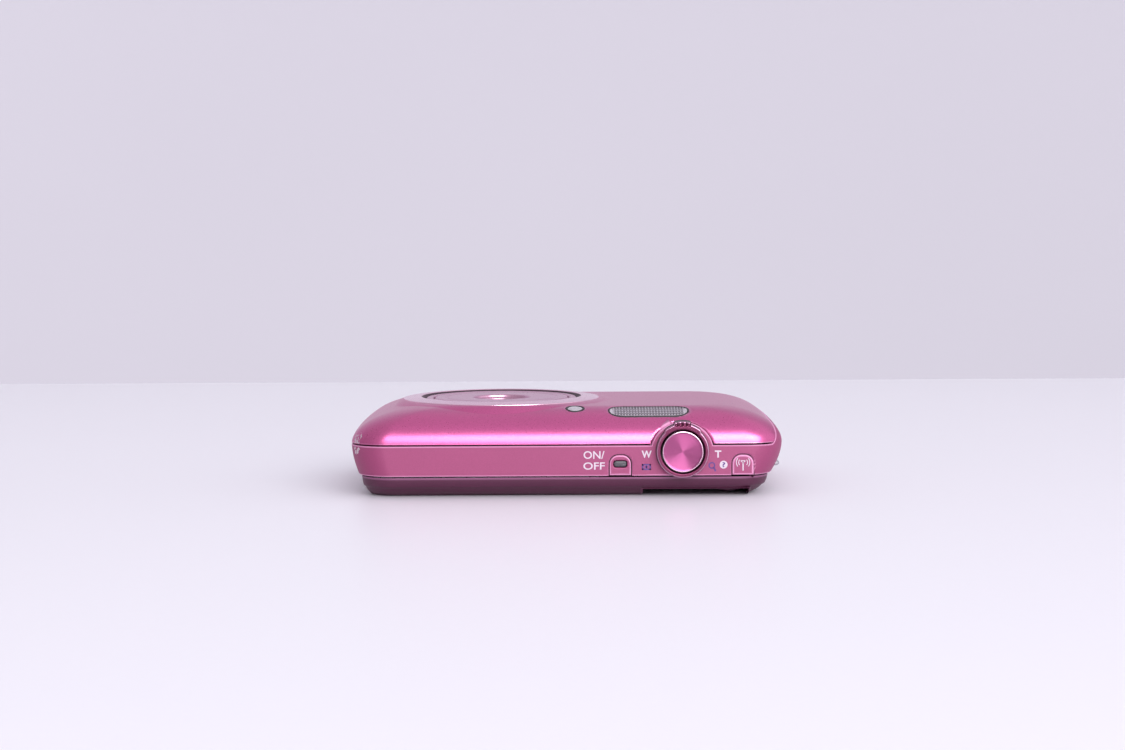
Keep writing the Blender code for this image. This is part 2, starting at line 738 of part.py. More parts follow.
def barrier_blade(name, side):
    """Half of the lens cover with its pivot ear; side is +1 for the upper half, -1 for the lower."""
    reach = BARRIER_HOLE_RADIUS + 0.3 * MM
    half_gap = GAP / 2
    ear = 1.2 * MM
    half_disc = arc((0, 0), reach, math.degrees(math.asin(half_gap / reach)), 150, 14)
    ear_points = arc((-BLADE_PIVOT, 0), ear, 100, 350, 8)
    inner = [(-BLADE_PIVOT + 2 * ear, half_gap)]
    outline_points = [(x + BLADE_PIVOT, y) for x, y in half_disc + ear_points + inner]
    turn = (0, 0, 0 if side > 0 else math.pi)
    place = (LENS_X - side * BLADE_PIVOT, LENS_Y, BLADE_Z)
    blade = prism(name, outline_points, 0, BLADE_THICKNESS, BLACK, place, turn)
    below = (place[0], place[1], BLADE_Z - MM)
    return cut(blade, rod_cutter(name + "_eye", PIVOT_PIN + 0.15 * MM, 3 * MM, below, sides=12))


def barrier_base():
    """The plate behind the barrier blades, with their two pivot pins."""
    high = BLADE_Z - GAP
    base = tube(
        "barrier_base", INNER_BORE - GAP, BARRIER_HOLE_RADIUS + 0.5 * MM, BARRIER_BASE_Z, high,
        BLACK, lens_place(),
    )
    for side in (1, -1):
        place = (LENS_X - side * BLADE_PIVOT, LENS_Y, BARRIER_BASE_Z + 0.3 * MM)
        pin = rod("pivot_pin", PIVOT_PIN, BLADE_Z + BLADE_THICKNESS - place[2], STEEL, place, sides=12)
        join(base, pin)
    return base


def dome(radius, height, z, steps):
    """Profile points of a shallow dome from its middle to its rim."""
    curve_radius = (radius**2 + height**2) / (2 * height)
    span = math.asin(radius / curve_radius)
    return [
        (
            curve_radius * math.sin(span * step / steps),
            z + height - curve_radius * (1 - math.cos(span * step / steps)),
        )
        for step in range(steps + 1)
    ]


def glass_element(name, radius, z, thickness, bulge, material=GLASS):
    front = dome(radius, bulge, z, 5)
    front[0] = (0.0, front[0][1])
    profile = front + [(radius, z - thickness), (0.0, z - thickness)]
    return turned(name, profile, material, lens_place(), steps=28)


FRONT_GROUP_Z = BARRIER_BASE_Z - GAP
FRONT_GROUP_DEPTH = 3.6 * MM
ZOOM_GROUP_Z = 8.2 * MM
ZOOM_GROUP_DEPTH = 2.4 * MM


def lens_inside():
    """Three lens groups in their frames, and the sensor under them."""
    bore = INNER_BORE - GAP
    low = FRONT_GROUP_Z - FRONT_GROUP_DEPTH
    tube("front_group_frame", bore, 7.3 * MM, low, FRONT_GROUP_Z, BLACK, lens_place())
    glass_element("front_lens", 7.0 * MM, FRONT_GROUP_Z - 1.4 * MM, 2.2 * MM, 1.2 * MM)
    high = ZOOM_GROUP_Z + ZOOM_GROUP_DEPTH
    tube("zoom_group_frame", bore, 5.3 * MM, ZOOM_GROUP_Z, high, BLACK, lens_place())
    glass_element("zoom_lens", 5.0 * MM, high - 0.7 * MM, 1.4 * MM, 0.5 * MM)
    floor = HOUSING_BASE_Z + MM + GAP
    tube("focus_lens_frame", 6.2 * MM, 4.1 * MM, floor, floor + 1.2 * MM, BLACK, lens_place(), steps=24)
    glass_element("focus_lens", 3.8 * MM, floor + 0.7 * MM, 0.6 * MM, 0.3 * MM)
    return block(
        "image_sensor", (LENS_X - 4.6 * MM, LENS_Y - 3.9 * MM, HOUSING_BASE_Z - 0.6 * MM),
        (LENS_X + 4.6 * MM, LENS_Y + 3.9 * MM, HOUSING_BASE_Z + 0.6 * MM), BOARD,
    )


CAM_TIP = CAM_TEETH * TOOTH_PITCH / (2 * math.pi) + TOOTH_HEIGHT / 2
GEAR_TIP = GEAR_TEETH * TOOTH_PITCH / (2 * math.pi) + TOOTH_HEIGHT / 2
CAM_BORE = HOUSING_RADIUS + GAP
GEAR_Z = HOUSING_BASE_Z + 7.0 * MM + GAP
GEAR_DEPTH = 2.4 * MM
MOTOR_DISTANCE = CAM_TIP + GEAR_TIP + GAP
MOTOR_X = LENS_X + MOTOR_DISTANCE * math.cos(math.radians(MOTOR_ANGLE))
MOTOR_Y = LENS_Y + MOTOR_DISTANCE * math.sin(math.radians(MOTOR_ANGLE))


def teeth_outline(tip, start, pitch, count):
    """Straight-flanked teeth from one angle on, in degrees."""
    root = tip - TOOTH_HEIGHT
    points = []
    for tooth in range(count):
        for share, radius in ((0.0, root), (0.22, root), (0.38, tip), (0.62, tip), (0.78, root)):
            angle = math.radians(start + pitch * (tooth + share))
            points.append((radius * math.cos(angle), radius * math.sin(angle)))
    return points


def cam_ring():
    """The turning ring round the lens housing, with a toothed stretch that the motor drives."""
    wall = CAM_BORE + CAM_WALL
    ring = tube(
        "cam_ring", wall, CAM_BORE, HOUSING_BASE_Z, RING_BASE_Z - 2 * GAP, GREY, lens_place(), steps=48
    )
    pitch = 360 / CAM_TEETH
    margin = 8
    count = round((CAM_TURN + 2 * margin) / pitch)
    start = MOTOR_ANGLE - CAM_TURN - margin
    outer = teeth_outline(CAM_TIP, start, pitch, count)
    inner = arc((0, 0), CAM_BORE + 0.4 * CAM_WALL, start + pitch * count, start, 12)
    stretch = prism("cam_teeth", outer + inner, GEAR_Z, GEAR_Z + GEAR_DEPTH, GREY, lens_place())
    return join(ring, stretch)


def zoom_drive():
    cam_ring()
    rod("zoom_motor", MOTOR_RADIUS, 7.0 * MM, STEEL, (MOTOR_X, MOTOR_Y, HOUSING_BASE_Z), sides=20)
    teeth = teeth_outline(GEAR_TIP, 0, 360 / GEAR_TEETH, GEAR_TEETH)
    return prism("zoom_gear", teeth, 0, GEAR_DEPTH, GREY, (MOTOR_X, MOTOR_Y, GEAR_Z))


# --- Top plate controls ----------------------------------------------------------


def lever_outline():
    """The zoom ring's outer edge: a circle with a shouldered finger tab towards the front."""
    half_tab = TAB_WIDTH / 2
    shoulder = LEVER_RADIUS + 0.35 * MM
    tab_angle = math.degrees(math.asin(half_tab / shoulder))
    ring = arc((0, 0), LEVER_RADIUS, 90 + 48, 90 - 48 + 360, 26)
    right = arc((0, 0), shoulder, 90 - 42, 90 - tab_angle, 4)
    tab = [(half_tab - 0.15 * MM, TAB_REACH), (-half_tab + 0.15 * MM, TAB_REACH)]
    left = arc((0, 0), shoulder, 90 + tab_angle, 90 + 42, 4)
    return ring + right + tab + left


def zoom_lever():
    lever = prism(
        "zoom_lever", lever_outline(), GAP, LEVER_PROUD, PINK_METAL,
        (SHUTTER_X, TOP_Y, SHUTTER_Z), OUTWARD_TOP,
    )
    inside = rod_cutter(
        "lever_bore", SHUTTER_RADIUS + GAP, 9 * MM, (SHUTTER_X, TOP_Y + 5 * MM, SHUTTER_Z), OUTWARD_TOP, 32
    )
    return cut(lever, inside)


def shutter_button():
    rim = SHUTTER_PROUD - 0.25 * MM
    profile = [
        (0.0, SHUTTER_PROUD), (SHUTTER_RADIUS - 0.35 * MM, SHUTTER_PROUD - 0.05 * MM),
        (SHUTTER_RADIUS, rim), (SHUTTER_RADIUS, 0.5 * MM), (1.6 * MM, 0.5 * MM),
        (1.6 * MM, -2.2 * MM), (0.0, -2.2 * MM),
    ]
    return turned(
        "shutter_button", profile, PINK_METAL, (SHUTTER_X, TOP_Y, SHUTTER_Z), OUTWARD_TOP, 32
    )


def top_key(name, x):
    made = prism(
        name, key_outline(KEY_WIDTH, BELT_LOW_Z + 0.15 * MM, KEY_TOP_Z, KEY_CORNER), -1.5 * MM, 0.1 * MM,
        PINK_PLASTIC, (x, TOP_Y, 0), OUTWARD_TOP,
    )
    return bevelled(made, 0.15 * MM)


LAMP_SLOT_Z = 7.3 * MM
BOARD_Y = TOP_Y + 4.2 * MM


def power_key():
    key = top_key("power_button", POWER_X)
    slot = prism(
        "lamp_slot", rounded_rectangle(2.7 * MM + 2 * GAP, 1.2 * MM + 2 * GAP, 0.85 * MM, 3), -3 * MM, MM,
        STEEL, (POWER_X, TOP_Y, LAMP_SLOT_Z), OUTWARD_TOP,
    )
    cut(key, as_cutter(slot))
    return prism(
        "power_lamp", rounded_rectangle(2.7 * MM, 1.2 * MM, 0.55 * MM, 3), -1.6 * MM, 0.0,
        GREY, (POWER_X, TOP_Y, LAMP_SLOT_Z), OUTWARD_TOP,
    )


def top_controls():
    zoom_lever()
    shutter_button()
    power_key()
    top_key("wireless_button", WIRELESS_X)
    board = block(
        "top_switch_board", (POWER_X - 3 * MM, BOARD_Y, BELT_LOW_Z + 0.7 * MM),
        (WIRELESS_X + 2.4 * MM, BOARD_Y + 0.6 * MM, 12.2 * MM), BOARD,
    )
    switches = (
        ("shutter_switch", SHUTTER_X, SHUTTER_Z, 0.6 * MM, 1.6 * MM),
        ("power_switch", POWER_X, LAMP_SLOT_Z, 1.1 * MM, 1.5 * MM),
        ("wireless_switch", WIRELESS_X, LAMP_SLOT_Z, 1.1 * MM, 1.5 * MM),
    )
    for name, x, z, tall, half in switches:
        switch = block(
            name, (x - half, BOARD_Y - tall, z - half), (x + half, BOARD_Y + 0.3 * MM, z + half), STEEL
        )
        join(board, switch)
    return board


# --- Front details ---------------------------------------------------------------


def front_height(x, y):
    """Height of the body form over a point well inside its outline."""
    low, high = SEAM_Z, CROWN_Z
    for _ in range(30):
        middle = (low + high) / 2
        left, right, half_y, _corner = section(middle)
        inside = abs(y) < half_y and -left < x < right
        low, high = (middle, high) if inside else (low, middle)
    return low


def flash_unit():
    """Window following the front's slope, with the reflector trough and the tube behind it."""
    low_z, high_z = front_height(FLASH_X, FLASH_Y - FLASH_HEIGHT / 2), front_height(FLASH_X, FLASH_Y + FLASH_HEIGHT / 2)
    slope = math.atan2(high_z - low_z, FLASH_HEIGHT)
    middle = front_height(FLASH_X, FLASH_Y)
    prism(
        "flash_window", flash_outline(-0.15 * MM), -1.3 * MM, 0.05 * MM, GLASS,
        (FLASH_X, FLASH_Y, middle), (slope, 0, 0),
    )
    half_x, half_y = FLASH_WIDTH / 2 - 1.4 * MM, FLASH_HEIGHT / 2 - 0.1 * MM
    low, high = 12.6 * MM, low_z - 1.9 * MM
    trough = block(
        "flash_reflector", (FLASH_X - half_x, FLASH_Y - half_y, low), (FLASH_X + half_x, FLASH_Y + half_y, high),
        SILVER,
    )
    groove = rod_cutter(
        "reflector_groove", half_y - 0.4 * MM, 2 * half_x - MM,
        (FLASH_X - half_x + 0.5 * MM, FLASH_Y, high + 0.4 * MM), OUTWARD_GRIP, 16,
    )
    cut(trough, groove)
    return rod(
        "flash_tube", 0.7 * MM, 2 * half_x - 1.6 * MM, GLASS,
        (FLASH_X - half_x + 0.8 * MM, FLASH_Y, high - 0.6 * MM), OUTWARD_GRIP, 12,
    )


def front_details():
    flash_unit()
    lamp_z = front_height(LAMP_X, LAMP_Y)
    turned(
        "focus_lamp",
        dome(LAMP_RADIUS, 0.25 * MM, 0, 3) + [(LAMP_RADIUS, -2.4 * MM), (0.0, -2.4 * MM)],
        GLASS, (LAMP_X, LAMP_Y, lamp_z), (math.radians(8), 0, 0), 20,
    )
    rod("microphone", MIC_RADIUS, 1.6 * MM, STEEL, (MIC_X, MIC_Y, CROWN_Z - METAL_WALL - 2.0 * MM), sides=16)
    rod_y = TOP_Y + WALL + GAP + CAPACITOR_RADIUS
    return rod(
        "flash_capacitor", CAPACITOR_RADIUS, CAPACITOR_LENGTH, BLACK, (LENS_X - 23.5 * MM, rod_y, 9.2 * MM),
        OUTWARD_GRIP, 20,
    )


# --- Back ------------------------------------------------------------------------

def rear_key(name, x, y):
    made = prism(
        name, rounded_rectangle(*REAR_KEY_SIZE, 1.2 * MM, 3), REAR_KEY_FACE, PANEL_FLOOR + 0.3 * MM,
        PLUM_PLASTIC, (x, y, 0),
    )
    return bevelled(made, 0.15 * MM)


def round_key(name, x, y, radius, material):
    profile = [
        (0.0, PANEL_FLOOR + 0.3 * MM), (radius, PANEL_FLOOR + 0.3 * MM), (radius, REAR_KEY_FACE + 0.2 * MM),
        (radius - 0.2 * MM, REAR_KEY_FACE), (0.0, REAR_KEY_FACE),
    ]
    return turned(name, profile, material, (x, y, 0), steps=24)


def back_controls():
    for name, (x, y) in rear_key_places().items():
        rear_key(name, x, y)
    round_key("movie_button", MOVIE_X, MOVIE_Y, MOVIE_RADIUS, PLUM_PLASTIC)
    round_key("ok_button", SELECTOR_X, SELECTOR_Y, OK_RADIUS, SILVER)
    round_key("charge_lamp", CHARGE_X, MOVIE_Y, CHARGE_RADIUS, GLASS)
    bore = OK_RADIUS + GAP
    profile = [
        (SELECTOR_RADIUS, PANEL_FLOOR), (SELECTOR_RADIUS, REAR_KEY_FACE + 0.4 * MM),
        (SELECTOR_RADIUS - 0.5 * MM, REAR_KEY_FACE), (bore, REAR_KEY_FACE + 0.3 * MM), (bore, PANEL_FLOOR),
    ]
    turned("multi_selector", profile, SILVER, (SELECTOR_X, SELECTOR_Y, 0), steps=36, closed=True)
    beam_z = PANEL_FLOOR + 0.25 * MM
    inner, outer = OK_RADIUS + 0.6 * MM, SELECTOR_RADIUS - 0.8 * MM
    beam = tube(
        "selector_rocker", inner + 0.8 * MM, inner, beam_z, beam_z + 0.25 * MM, STEEL,
        (SELECTOR_X, SELECTOR_Y, 0), steps=20,
    )
    arms = block(
        "rocker_arms", (SELECTOR_X - 0.6 * MM, SELECTOR_Y - outer, beam_z),
        (SELECTOR_X + 0.6 * MM, SELECTOR_Y + outer, beam_z + 0.25 * MM), STEEL,
    )
    join(beam, arms)
    centre = rod_cutter("rocker_bore", inner, MM, (SELECTOR_X, SELECTOR_Y, beam_z - 0.4 * MM), sides=20)
    cut(beam, centre)
    block(
        "key_board", (PANEL_LEFT + MM, TOP_Y + 6 * MM, KEY_BOARD_Z),
        (PANEL_RIGHT - MM, BASE_Y - 7 * MM, KEY_BOARD_Z + 0.3 * MM),
        BOARD,
    )


def display():
    block(
        "display_window", (WINDOW_LEFT, -WINDOW_HALF_Y, 0), (WINDOW_RIGHT, WINDOW_HALF_Y, WINDOW_THICKNESS),
        BLACK,
    )
    block(
        "display_panel", (WINDOW_LEFT + MM, -WINDOW_HALF_Y + MM, WINDOW_THICKNESS + GAP),
        (WINDOW_RIGHT - MM, WINDOW_HALF_Y - MM, DISPLAY_TOP), GREY,
    )
    frame = block(
        "chassis", (WINDOW_LEFT - 0.9 * MM, -WINDOW_HALF_Y - 0.6 * MM, DISPLAY_TOP + GAP),
        (BATTERY_LEFT - 1.6 * MM, WINDOW_HALF_Y + 0.6 * MM, DISPLAY_TOP + GAP + 0.6 * MM), STEEL,
    )
    opening = box_cutter(
        "sensor_opening", (LENS_X - 6 * MM, LENS_Y - 5 * MM, 0), (LENS_X + 6 * MM, LENS_Y + 5 * MM, 6 * MM)
    )
    return cut(frame, opening)


# --- Inside the grip -------------------------------------------------------------


def power_side():
    """Battery and card in their shared chamber, with the main board over it."""
    width, length, thick = BATTERY_SIZE
    left, right = BATTERY_LEFT, BATTERY_LEFT + width
    start = BATTERY_END_Y - length
    top = BATTERY_Z + thick
    block("battery", (left, start, BATTERY_Z), (right, BATTERY_END_Y, top), GREY, 0.5 * MM)
    middle = (left + right) / 2
    card_low = top + 2 * GAP + CHAMBER_WALL - 0.1 * MM
    card_high = card_low + CARD_SIZE[2]
    block(
        "memory_card", (middle - CARD_SIZE[0] / 2, BATTERY_END_Y - CARD_SIZE[1], card_low),
        (middle + CARD_SIZE[0] / 2, BATTERY_END_Y, card_high), BLACK, 0.2 * MM,
    )
    wall = CHAMBER_WALL
    chamber = block(
        "battery_chamber", (left - GAP - wall, start - GAP - wall, BATTERY_Z - GAP - wall),
        (right + GAP + wall, BATTERY_END_Y - 2.2 * MM, card_high + GAP + wall), GREY,
    )
    battery_space = box_cutter(
        "battery_space", (left - GAP, start - GAP, BATTERY_Z - GAP), (right + GAP, BODY_HEIGHT, top + GAP)
    )
    card_space = box_cutter(
        "card_space", (middle - CARD_SIZE[0] / 2 - GAP, BATTERY_END_Y - CARD_SIZE[1] - GAP, card_low - GAP),
        (middle + CARD_SIZE[0] / 2 + GAP, BODY_HEIGHT, card_high + GAP),
    )
    cut(chamber, battery_space, card_space)
    board_z = card_high + GAP + wall + GAP
    board = block(
        "main_board", (left, start - 3.7 * MM, board_z),
        (right - 2 * MM, start + 32.3 * MM, board_z + 0.8 * MM), BOARD,
    )
    processor = block(
        "image_processor", (middle - 5 * MM, start + 5 * MM, board_z + 0.4 * MM),
        (middle + 5 * MM, start + 15 * MM, board_z + 1.6 * MM), BLACK,
    )
    join(board, processor)
    latch_z = top - 0.9 * MM
    return block(
        "battery_latch", (left - MM, BATTERY_END_Y + GAP, latch_z),
        (left + 1.2 * MM, BATTERY_END_Y + GAP + 0.9 * MM, latch_z + 2.3 * MM), GREY, 0.2 * MM,
    )


DOOR_HINGE_Y = BASE_Y - 0.35 * MM


def battery_door():
    """The part of the base inside the door's window, hinged on its lower edge."""
    low, high = door_window(0)
    door = add_mesh("battery_door", belt_mesh(BELT_LOW_Z, SEAM_GAP / 2), PINK_PLASTIC)
    combine(door, box_cutter("door_window", low, high), "INTERSECT")
    catch_z = high[2] - 2.6 * MM
    slot = box_cutter(
        "catch_slot", (CATCH_X - 4.6 * MM, BASE_Y - 2 * WALL, catch_z - 0.9 * MM),
        (CATCH_X + 4.6 * MM, BASE_Y + MM, catch_z + 0.9 * MM),
    )
    cut(door, slot)
    move_origin(door, (0, DOOR_HINGE_Y, low[2] + 0.35 * MM))
    return block(
        "door_catch", (CATCH_X - 4.2 * MM, BASE_Y - WALL, catch_z - 0.6 * MM),
        (CATCH_X + 1.2 * MM, BASE_Y - 0.1 * MM, catch_z + 0.6 * MM), PLUM_PLASTIC, 0.15 * MM,
    )


def move_origin(item, place):
    """Moves an object's origin and keeps its shape where it is."""
    for vertex in item.data.vertices:
        vertex.co = [vertex.co[axis] - place[axis] for axis in range(3)]
    item.location = place


def tripod_and_screws():
    depth = TRIPOD_DEPTH
    outer = TRIPOD_RADIUS + TRIPOD_WALL
    profile = [
        (outer, 0.0), (outer, -depth - MM), (0.0, -depth - MM), (0.0, -depth),
        (TRIPOD_RADIUS, -depth), (TRIPOD_RADIUS, 0.0),
    ]
    turned(
        "tripod_socket", profile, STEEL, (TRIPOD_X, BASE_Y - 0.05 * MM, TRIPOD_Z), OUTWARD_BASE, 28, closed=True
    )
    for index, x in enumerate(SCREW_PLACES):
        profile = [
            (0.0, -0.35 * MM), (0.55 * MM, -0.35 * MM), (0.55 * MM, -0.1 * MM),
            (SCREW_RADIUS - 0.3 * MM, -0.1 * MM), (SCREW_RADIUS, -0.3 * MM), (SCREW_RADIUS, -0.8 * MM),
            (0.7 * MM, -0.8 * MM), (0.7 * MM, -3.6 * MM), (0.0, -3.6 * MM),
        ]
        turned(
            f"base_screw_{index + 1}", profile, STEEL, (x, BASE_Y, TRIPOD_Z), OUTWARD_BASE, 16
        )
    rod(
        "speaker", SPEAKER_RADIUS, 2.0 * MM, BLACK, (SPEAKER_X, BASE_Y - WALL - 2 * GAP - 2.0 * MM, TRIPOD_Z),
        OUTWARD_BASE, 20,
    )


def grip_end():
    low, high = connector_window(0)
    cover = add_mesh("connector_cover", belt_mesh(BELT_LOW_Z, SEAM_GAP / 2), RUBBER)
    combine(cover, box_cutter("connector_space", low, high), "INTERSECT")
    hinge_x = section(CONNECTOR_MIDDLE_Z)[1] - 0.2 * MM
    move_origin(cover, (hinge_x, high[1] - HINGE_INSET, CONNECTOR_MIDDLE_Z))
    block(
        "usb_socket", (GRIP_X - 6.15 * MM, CONNECTOR_Y - 3.8 * MM, CONNECTOR_MIDDLE_Z - 1.3 * MM),
        (GRIP_X - 2.75 * MM, CONNECTOR_Y + 3.8 * MM, CONNECTOR_MIDDLE_Z + 1.5 * MM), STEEL,
    )
    wire = bpy.data.curves.new("strap_eyelet", "CURVE")
    wire.dimensions = "3D"
    wire.bevel_depth = EYELET_WIRE
    wire.bevel_resolution = 2
    wire.use_fill_caps = True
    spline = wire.splines.new("POLY")
    reach = section(EYELET_Z)[1] - 0.3 * MM
    half = EYELET_SPAN / 2
    turn = 1.2 * MM
    corner = arc((reach - turn, half - turn), turn, 90, 0, 4)
    bend = [(GRIP_X - 5.15 * MM, half), *corner]
    path = bend + [(x, -y) for x, y in reversed(bend)]
    spline.points.add(len(path) - 1)
    for point, (x, y) in zip(spline.points, path):
        point.co = (x, y, 0, 1)
    eyelet = bpy.data.objects.new("strap_eyelet", wire)
    CAMERA.objects.link(eyelet)
    return mesh_from_curve(eyelet, STEEL, (0, EYELET_Y, EYELET_Z), (0, 0, 0))


def build_camera():
    front_cover()
    top_cover()
    base_cover()
    rear_cover()
    lens_ring()
    lens_housing()
    outer_barrel()
    inner_barrel()
    barrier_blade("barrier_blade_upper", 1)
    barrier_blade("barrier_blade_lower", -1)
    barrier_base()
    lens_inside()
    zoom_drive()
    top_controls()
    front_details()
    back_controls()
    display()
    power_side()
    battery_door()
    tripod_and_screws()
    grip_end()
    frame = bpy.data.objects.new("camera_frame", None)
    CAMERA.objects.link(frame)
    for item in CAMERA.objects:
        if item is not frame:
            item.parent = frame


build_camera()
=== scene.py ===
import json
import math

import bmesh
import bpy
import numpy as np
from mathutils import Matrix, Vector


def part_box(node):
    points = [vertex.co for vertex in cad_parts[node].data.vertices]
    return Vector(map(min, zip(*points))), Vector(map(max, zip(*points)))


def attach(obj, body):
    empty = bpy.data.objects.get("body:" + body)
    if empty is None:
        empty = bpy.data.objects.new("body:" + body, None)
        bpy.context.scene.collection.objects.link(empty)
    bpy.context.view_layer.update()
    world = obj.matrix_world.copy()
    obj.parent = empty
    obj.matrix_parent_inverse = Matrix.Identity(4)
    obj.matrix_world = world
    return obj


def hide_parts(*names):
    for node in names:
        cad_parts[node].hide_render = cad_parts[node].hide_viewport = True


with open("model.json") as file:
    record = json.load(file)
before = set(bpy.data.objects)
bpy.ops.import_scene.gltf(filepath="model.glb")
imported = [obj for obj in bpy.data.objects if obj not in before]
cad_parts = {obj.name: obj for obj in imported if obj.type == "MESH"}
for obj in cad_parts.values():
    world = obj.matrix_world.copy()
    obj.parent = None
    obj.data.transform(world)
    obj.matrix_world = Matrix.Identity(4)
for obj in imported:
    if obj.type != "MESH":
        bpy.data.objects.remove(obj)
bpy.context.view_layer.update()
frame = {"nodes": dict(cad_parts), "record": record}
mm = 0.001
quarter = math.pi / 2

# sizes of the body, the same form as the frame's covers

halfWidth = 47.80 * mm
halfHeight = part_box("base_cover")[1][1]
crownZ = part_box("front_cover")[1][2]
body = {
    "seamZ": 11.45 * mm,  # where the front shell meets the top plate
    "seamRise": 2.75 * mm,  # how far that seam climbs towards the base
    "gripRise": 4.5 * mm,  # and round the grip end
    "rearTop": 4.55 * mm,
    "corner": 7.5 * mm,
    "frontPinch": 0.4,  # share of the corner's radius that is gone at the crown
    "rearPinch": 0.25,  # and at the table
    "beltCurve": 1.8,
    "endBow": 0.022,
    "leanLeft": 18.5 * mm,
    "leanRight": 16.0 * mm,
    "leanY": 10.5 * mm,
    "beltLeanLeft": 1.65 * mm,
    "beltLeanRight": 2.6 * mm,
    "rearStep": 0.55 * mm,
    "rearLeanLeft": 2.2 * mm,
    "rearLeanRight": 4.75 * mm,
    "rearLeanY": 5.8 * mm,
    "gap": 0.15 * mm,  # half of a seam
    "split": halfHeight - 10.0 * mm,  # where the top cover ends and the base cover begins
}
bodyMiddle = (0, 0, 8 * mm)
lensX, lensY = -14.9 * mm, 0.0

# local x, y and outward z of each side of the camera, as directions in the frame
sides = {
    "front": ((1, 0, 0), (0, 1, 0), (0, 0, 1)),
    "top": ((1, 0, 0), (0, 0, 1), (0, -1, 0)),
    "base": ((-1, 0, 0), (0, 0, 1), (0, 1, 0)),
    "back": ((1, 0, 0), (0, -1, 0), (0, 0, -1)),
    "grip": ((0, 1, 0), (0, 0, 1), (1, 0, 0)),
}


# (a, b, c) on a side becomes a point of the frame: c counts from the body's surface there,
# or from the frame's origin when the place itself has a third number
def onSide(points, side, at):
    points = np.asarray(points, float).reshape(-1, 3) + np.array([at[0], at[1], 0.0])
    points[:, 2] += at[2] if len(at) > 2 else surfaceOf(side, points[:, 0], points[:, 1])
    return points @ np.array(sides[side], float)


def inMm(*points):
    return np.array(points, float) * mm


# materials


class Nodes:
    # a small hand for wiring a node tree
    def __init__(self, name):
        self.material = bpy.data.materials.new(name)
        self.material.use_nodes = True
        self.tree = self.material.node_tree
        self.tree.nodes.clear()

    def add(self, kind, settings=None, **inputs):
        node = self.tree.nodes.new("ShaderNode" + kind)
        for key, value in (settings or {}).items():
            setattr(node, key, value)
        for key, value in inputs.items():
            self.put(node, key.replace("_", " "), value)
        return node

    def put(self, node, socket, value):
        target = node.inputs[int(socket)] if socket.isdigit() else node.inputs[socket]
        if isinstance(value, bpy.types.NodeSocket):
            self.tree.links.new(value, target)
        else:
            target.default_value = value

    def math(self, operation, *values):
        node = self.add("Math", {"operation": operation})
        for index, value in enumerate(values):
            self.put(node, str(index), value)
        return node.outputs[0]

    def blendColour(self, factor, first, second, mode="MIX"):
        node = self.add("Mix", {"data_type": "RGBA", "blend_type": mode})
        self.put(node, "0", factor)
        self.put(node, "6", first)
        self.put(node, "7", second)
        return node.outputs[2]

    def range(self, value, fromLow, fromHigh, toLow, toHigh):
        node = self.add("MapRange")
        for index, number in enumerate((value, fromLow, fromHigh, toLow, toHigh)):
            self.put(node, str(index), number)
        return node.outputs[0]


def tone(colour, share=1.0):
    return tuple(min(part * share, 1.0) for part in colour[:3]) + (1.0,)


# colour = base x cloud x flake, paler where the edge mark is set and bare where a chip shows;
# roughness and height follow the same noises
def finish(name, look):
    made = Nodes(name)
    at = made.add("TexCoord").outputs["Object"]
    cloud = made.add("TexNoise", Vector=at, Scale=look.get("cloudScale", 60.0), Detail=3.0)
    spread = look.get("cloud", 0.05)
    colour = made.blendColour(
        cloud.outputs[0], tone(look["colour"], 1 - spread), tone(look["colour"], 1 + spread)
    )
    if "flake" in look:
        flake = made.add("TexVoronoi", Vector=at, Scale=1 / look.get("flakeSize", 0.00016))
        glint = made.range(flake.outputs["Color"], 0.0, 1.0, 1 - look["flake"], 1 + look["flake"])
        colour = made.blendColour(1.0, colour, glint, "MULTIPLY")
    grain = made.add("TexNoise", Vector=at, Scale=look.get("grainScale", 2600.0), Detail=4.0)
    vary = look.get("roughVary", 0.04)
    rough = made.range(grain.outputs[0], 0.3, 0.7, look["rough"] - vary, look["rough"] + vary)
    metallic = look.get("metallic", 0.0)
    # the shade mark paints shade: the colour is darkened towards the shade colour
    if look.get("paintedShade"):
        mark = made.add("Attribute", {"attribute_name": "shade"}).outputs["Fac"]
        colour = made.blendColour(mark, colour, tone(look["paintedShade"]))
    # the edge mark paints a highlight: the colour goes paler along rounded edges, chamfers and rims
    if "edgeHighlight" in look:
        mark = made.add("Attribute", {"attribute_name": "edge"}).outputs["Fac"]
        colour = made.blendColour(mark, colour, tone(look["edgeHighlight"]))
    if "chipAt" in look:
        away = made.add("VectorMath", {"operation": "DISTANCE"})
        made.put(away, "0", at)
        made.put(away, "1", look["chipAt"])
        near = made.range(away.outputs["Value"], look["chipReach"], 0.0, 0.0, 1.0)
        speck = made.add("TexNoise", Vector=at, Scale=900.0, Detail=5.0, Roughness=0.7)
        chip = made.math("MULTIPLY", near, speck.outputs[0])
        chip = made.range(chip, 0.40, 0.43, 0.0, 1.0)
        colour = made.blendColour(chip, colour, tone(chipColour))
        rough = made.math("ADD", rough, made.math("MULTIPLY", chip, 0.15))
    bump = made.add("Bump", Strength=look.get("bump", 0.12), Distance=0.00002, Height=grain.outputs[0])
    shader = made.add("BsdfPrincipled", Base_Color=colour, Roughness=rough, Metallic=metallic)
    made.put(shader, "Normal", bump.outputs[0])
    for socket, key in (
        ("Coat Weight", "coat"),
        ("Coat Roughness", "coatRough"),
        ("Anisotropic", "stretch"),
        ("Transmission Weight", "clear"),
        ("IOR", "ior"),
        ("Specular IOR Level", "specular"),
        ("Sheen Weight", "sheen"),
    ):
        if key in look:
            made.put(shader, socket, look[key])
    if "stretch" in look:
        tangent = made.add("Tangent", {"direction_type": "UV_MAP", "uv_map": "turn"})
        made.put(shader, "Tangent", tangent.outputs[0])
    out = made.add("OutputMaterial")
    made.put(out, "Surface", shader.outputs[0])
    made.material.diffuse_color = tone(look["colour"])
    return made.material


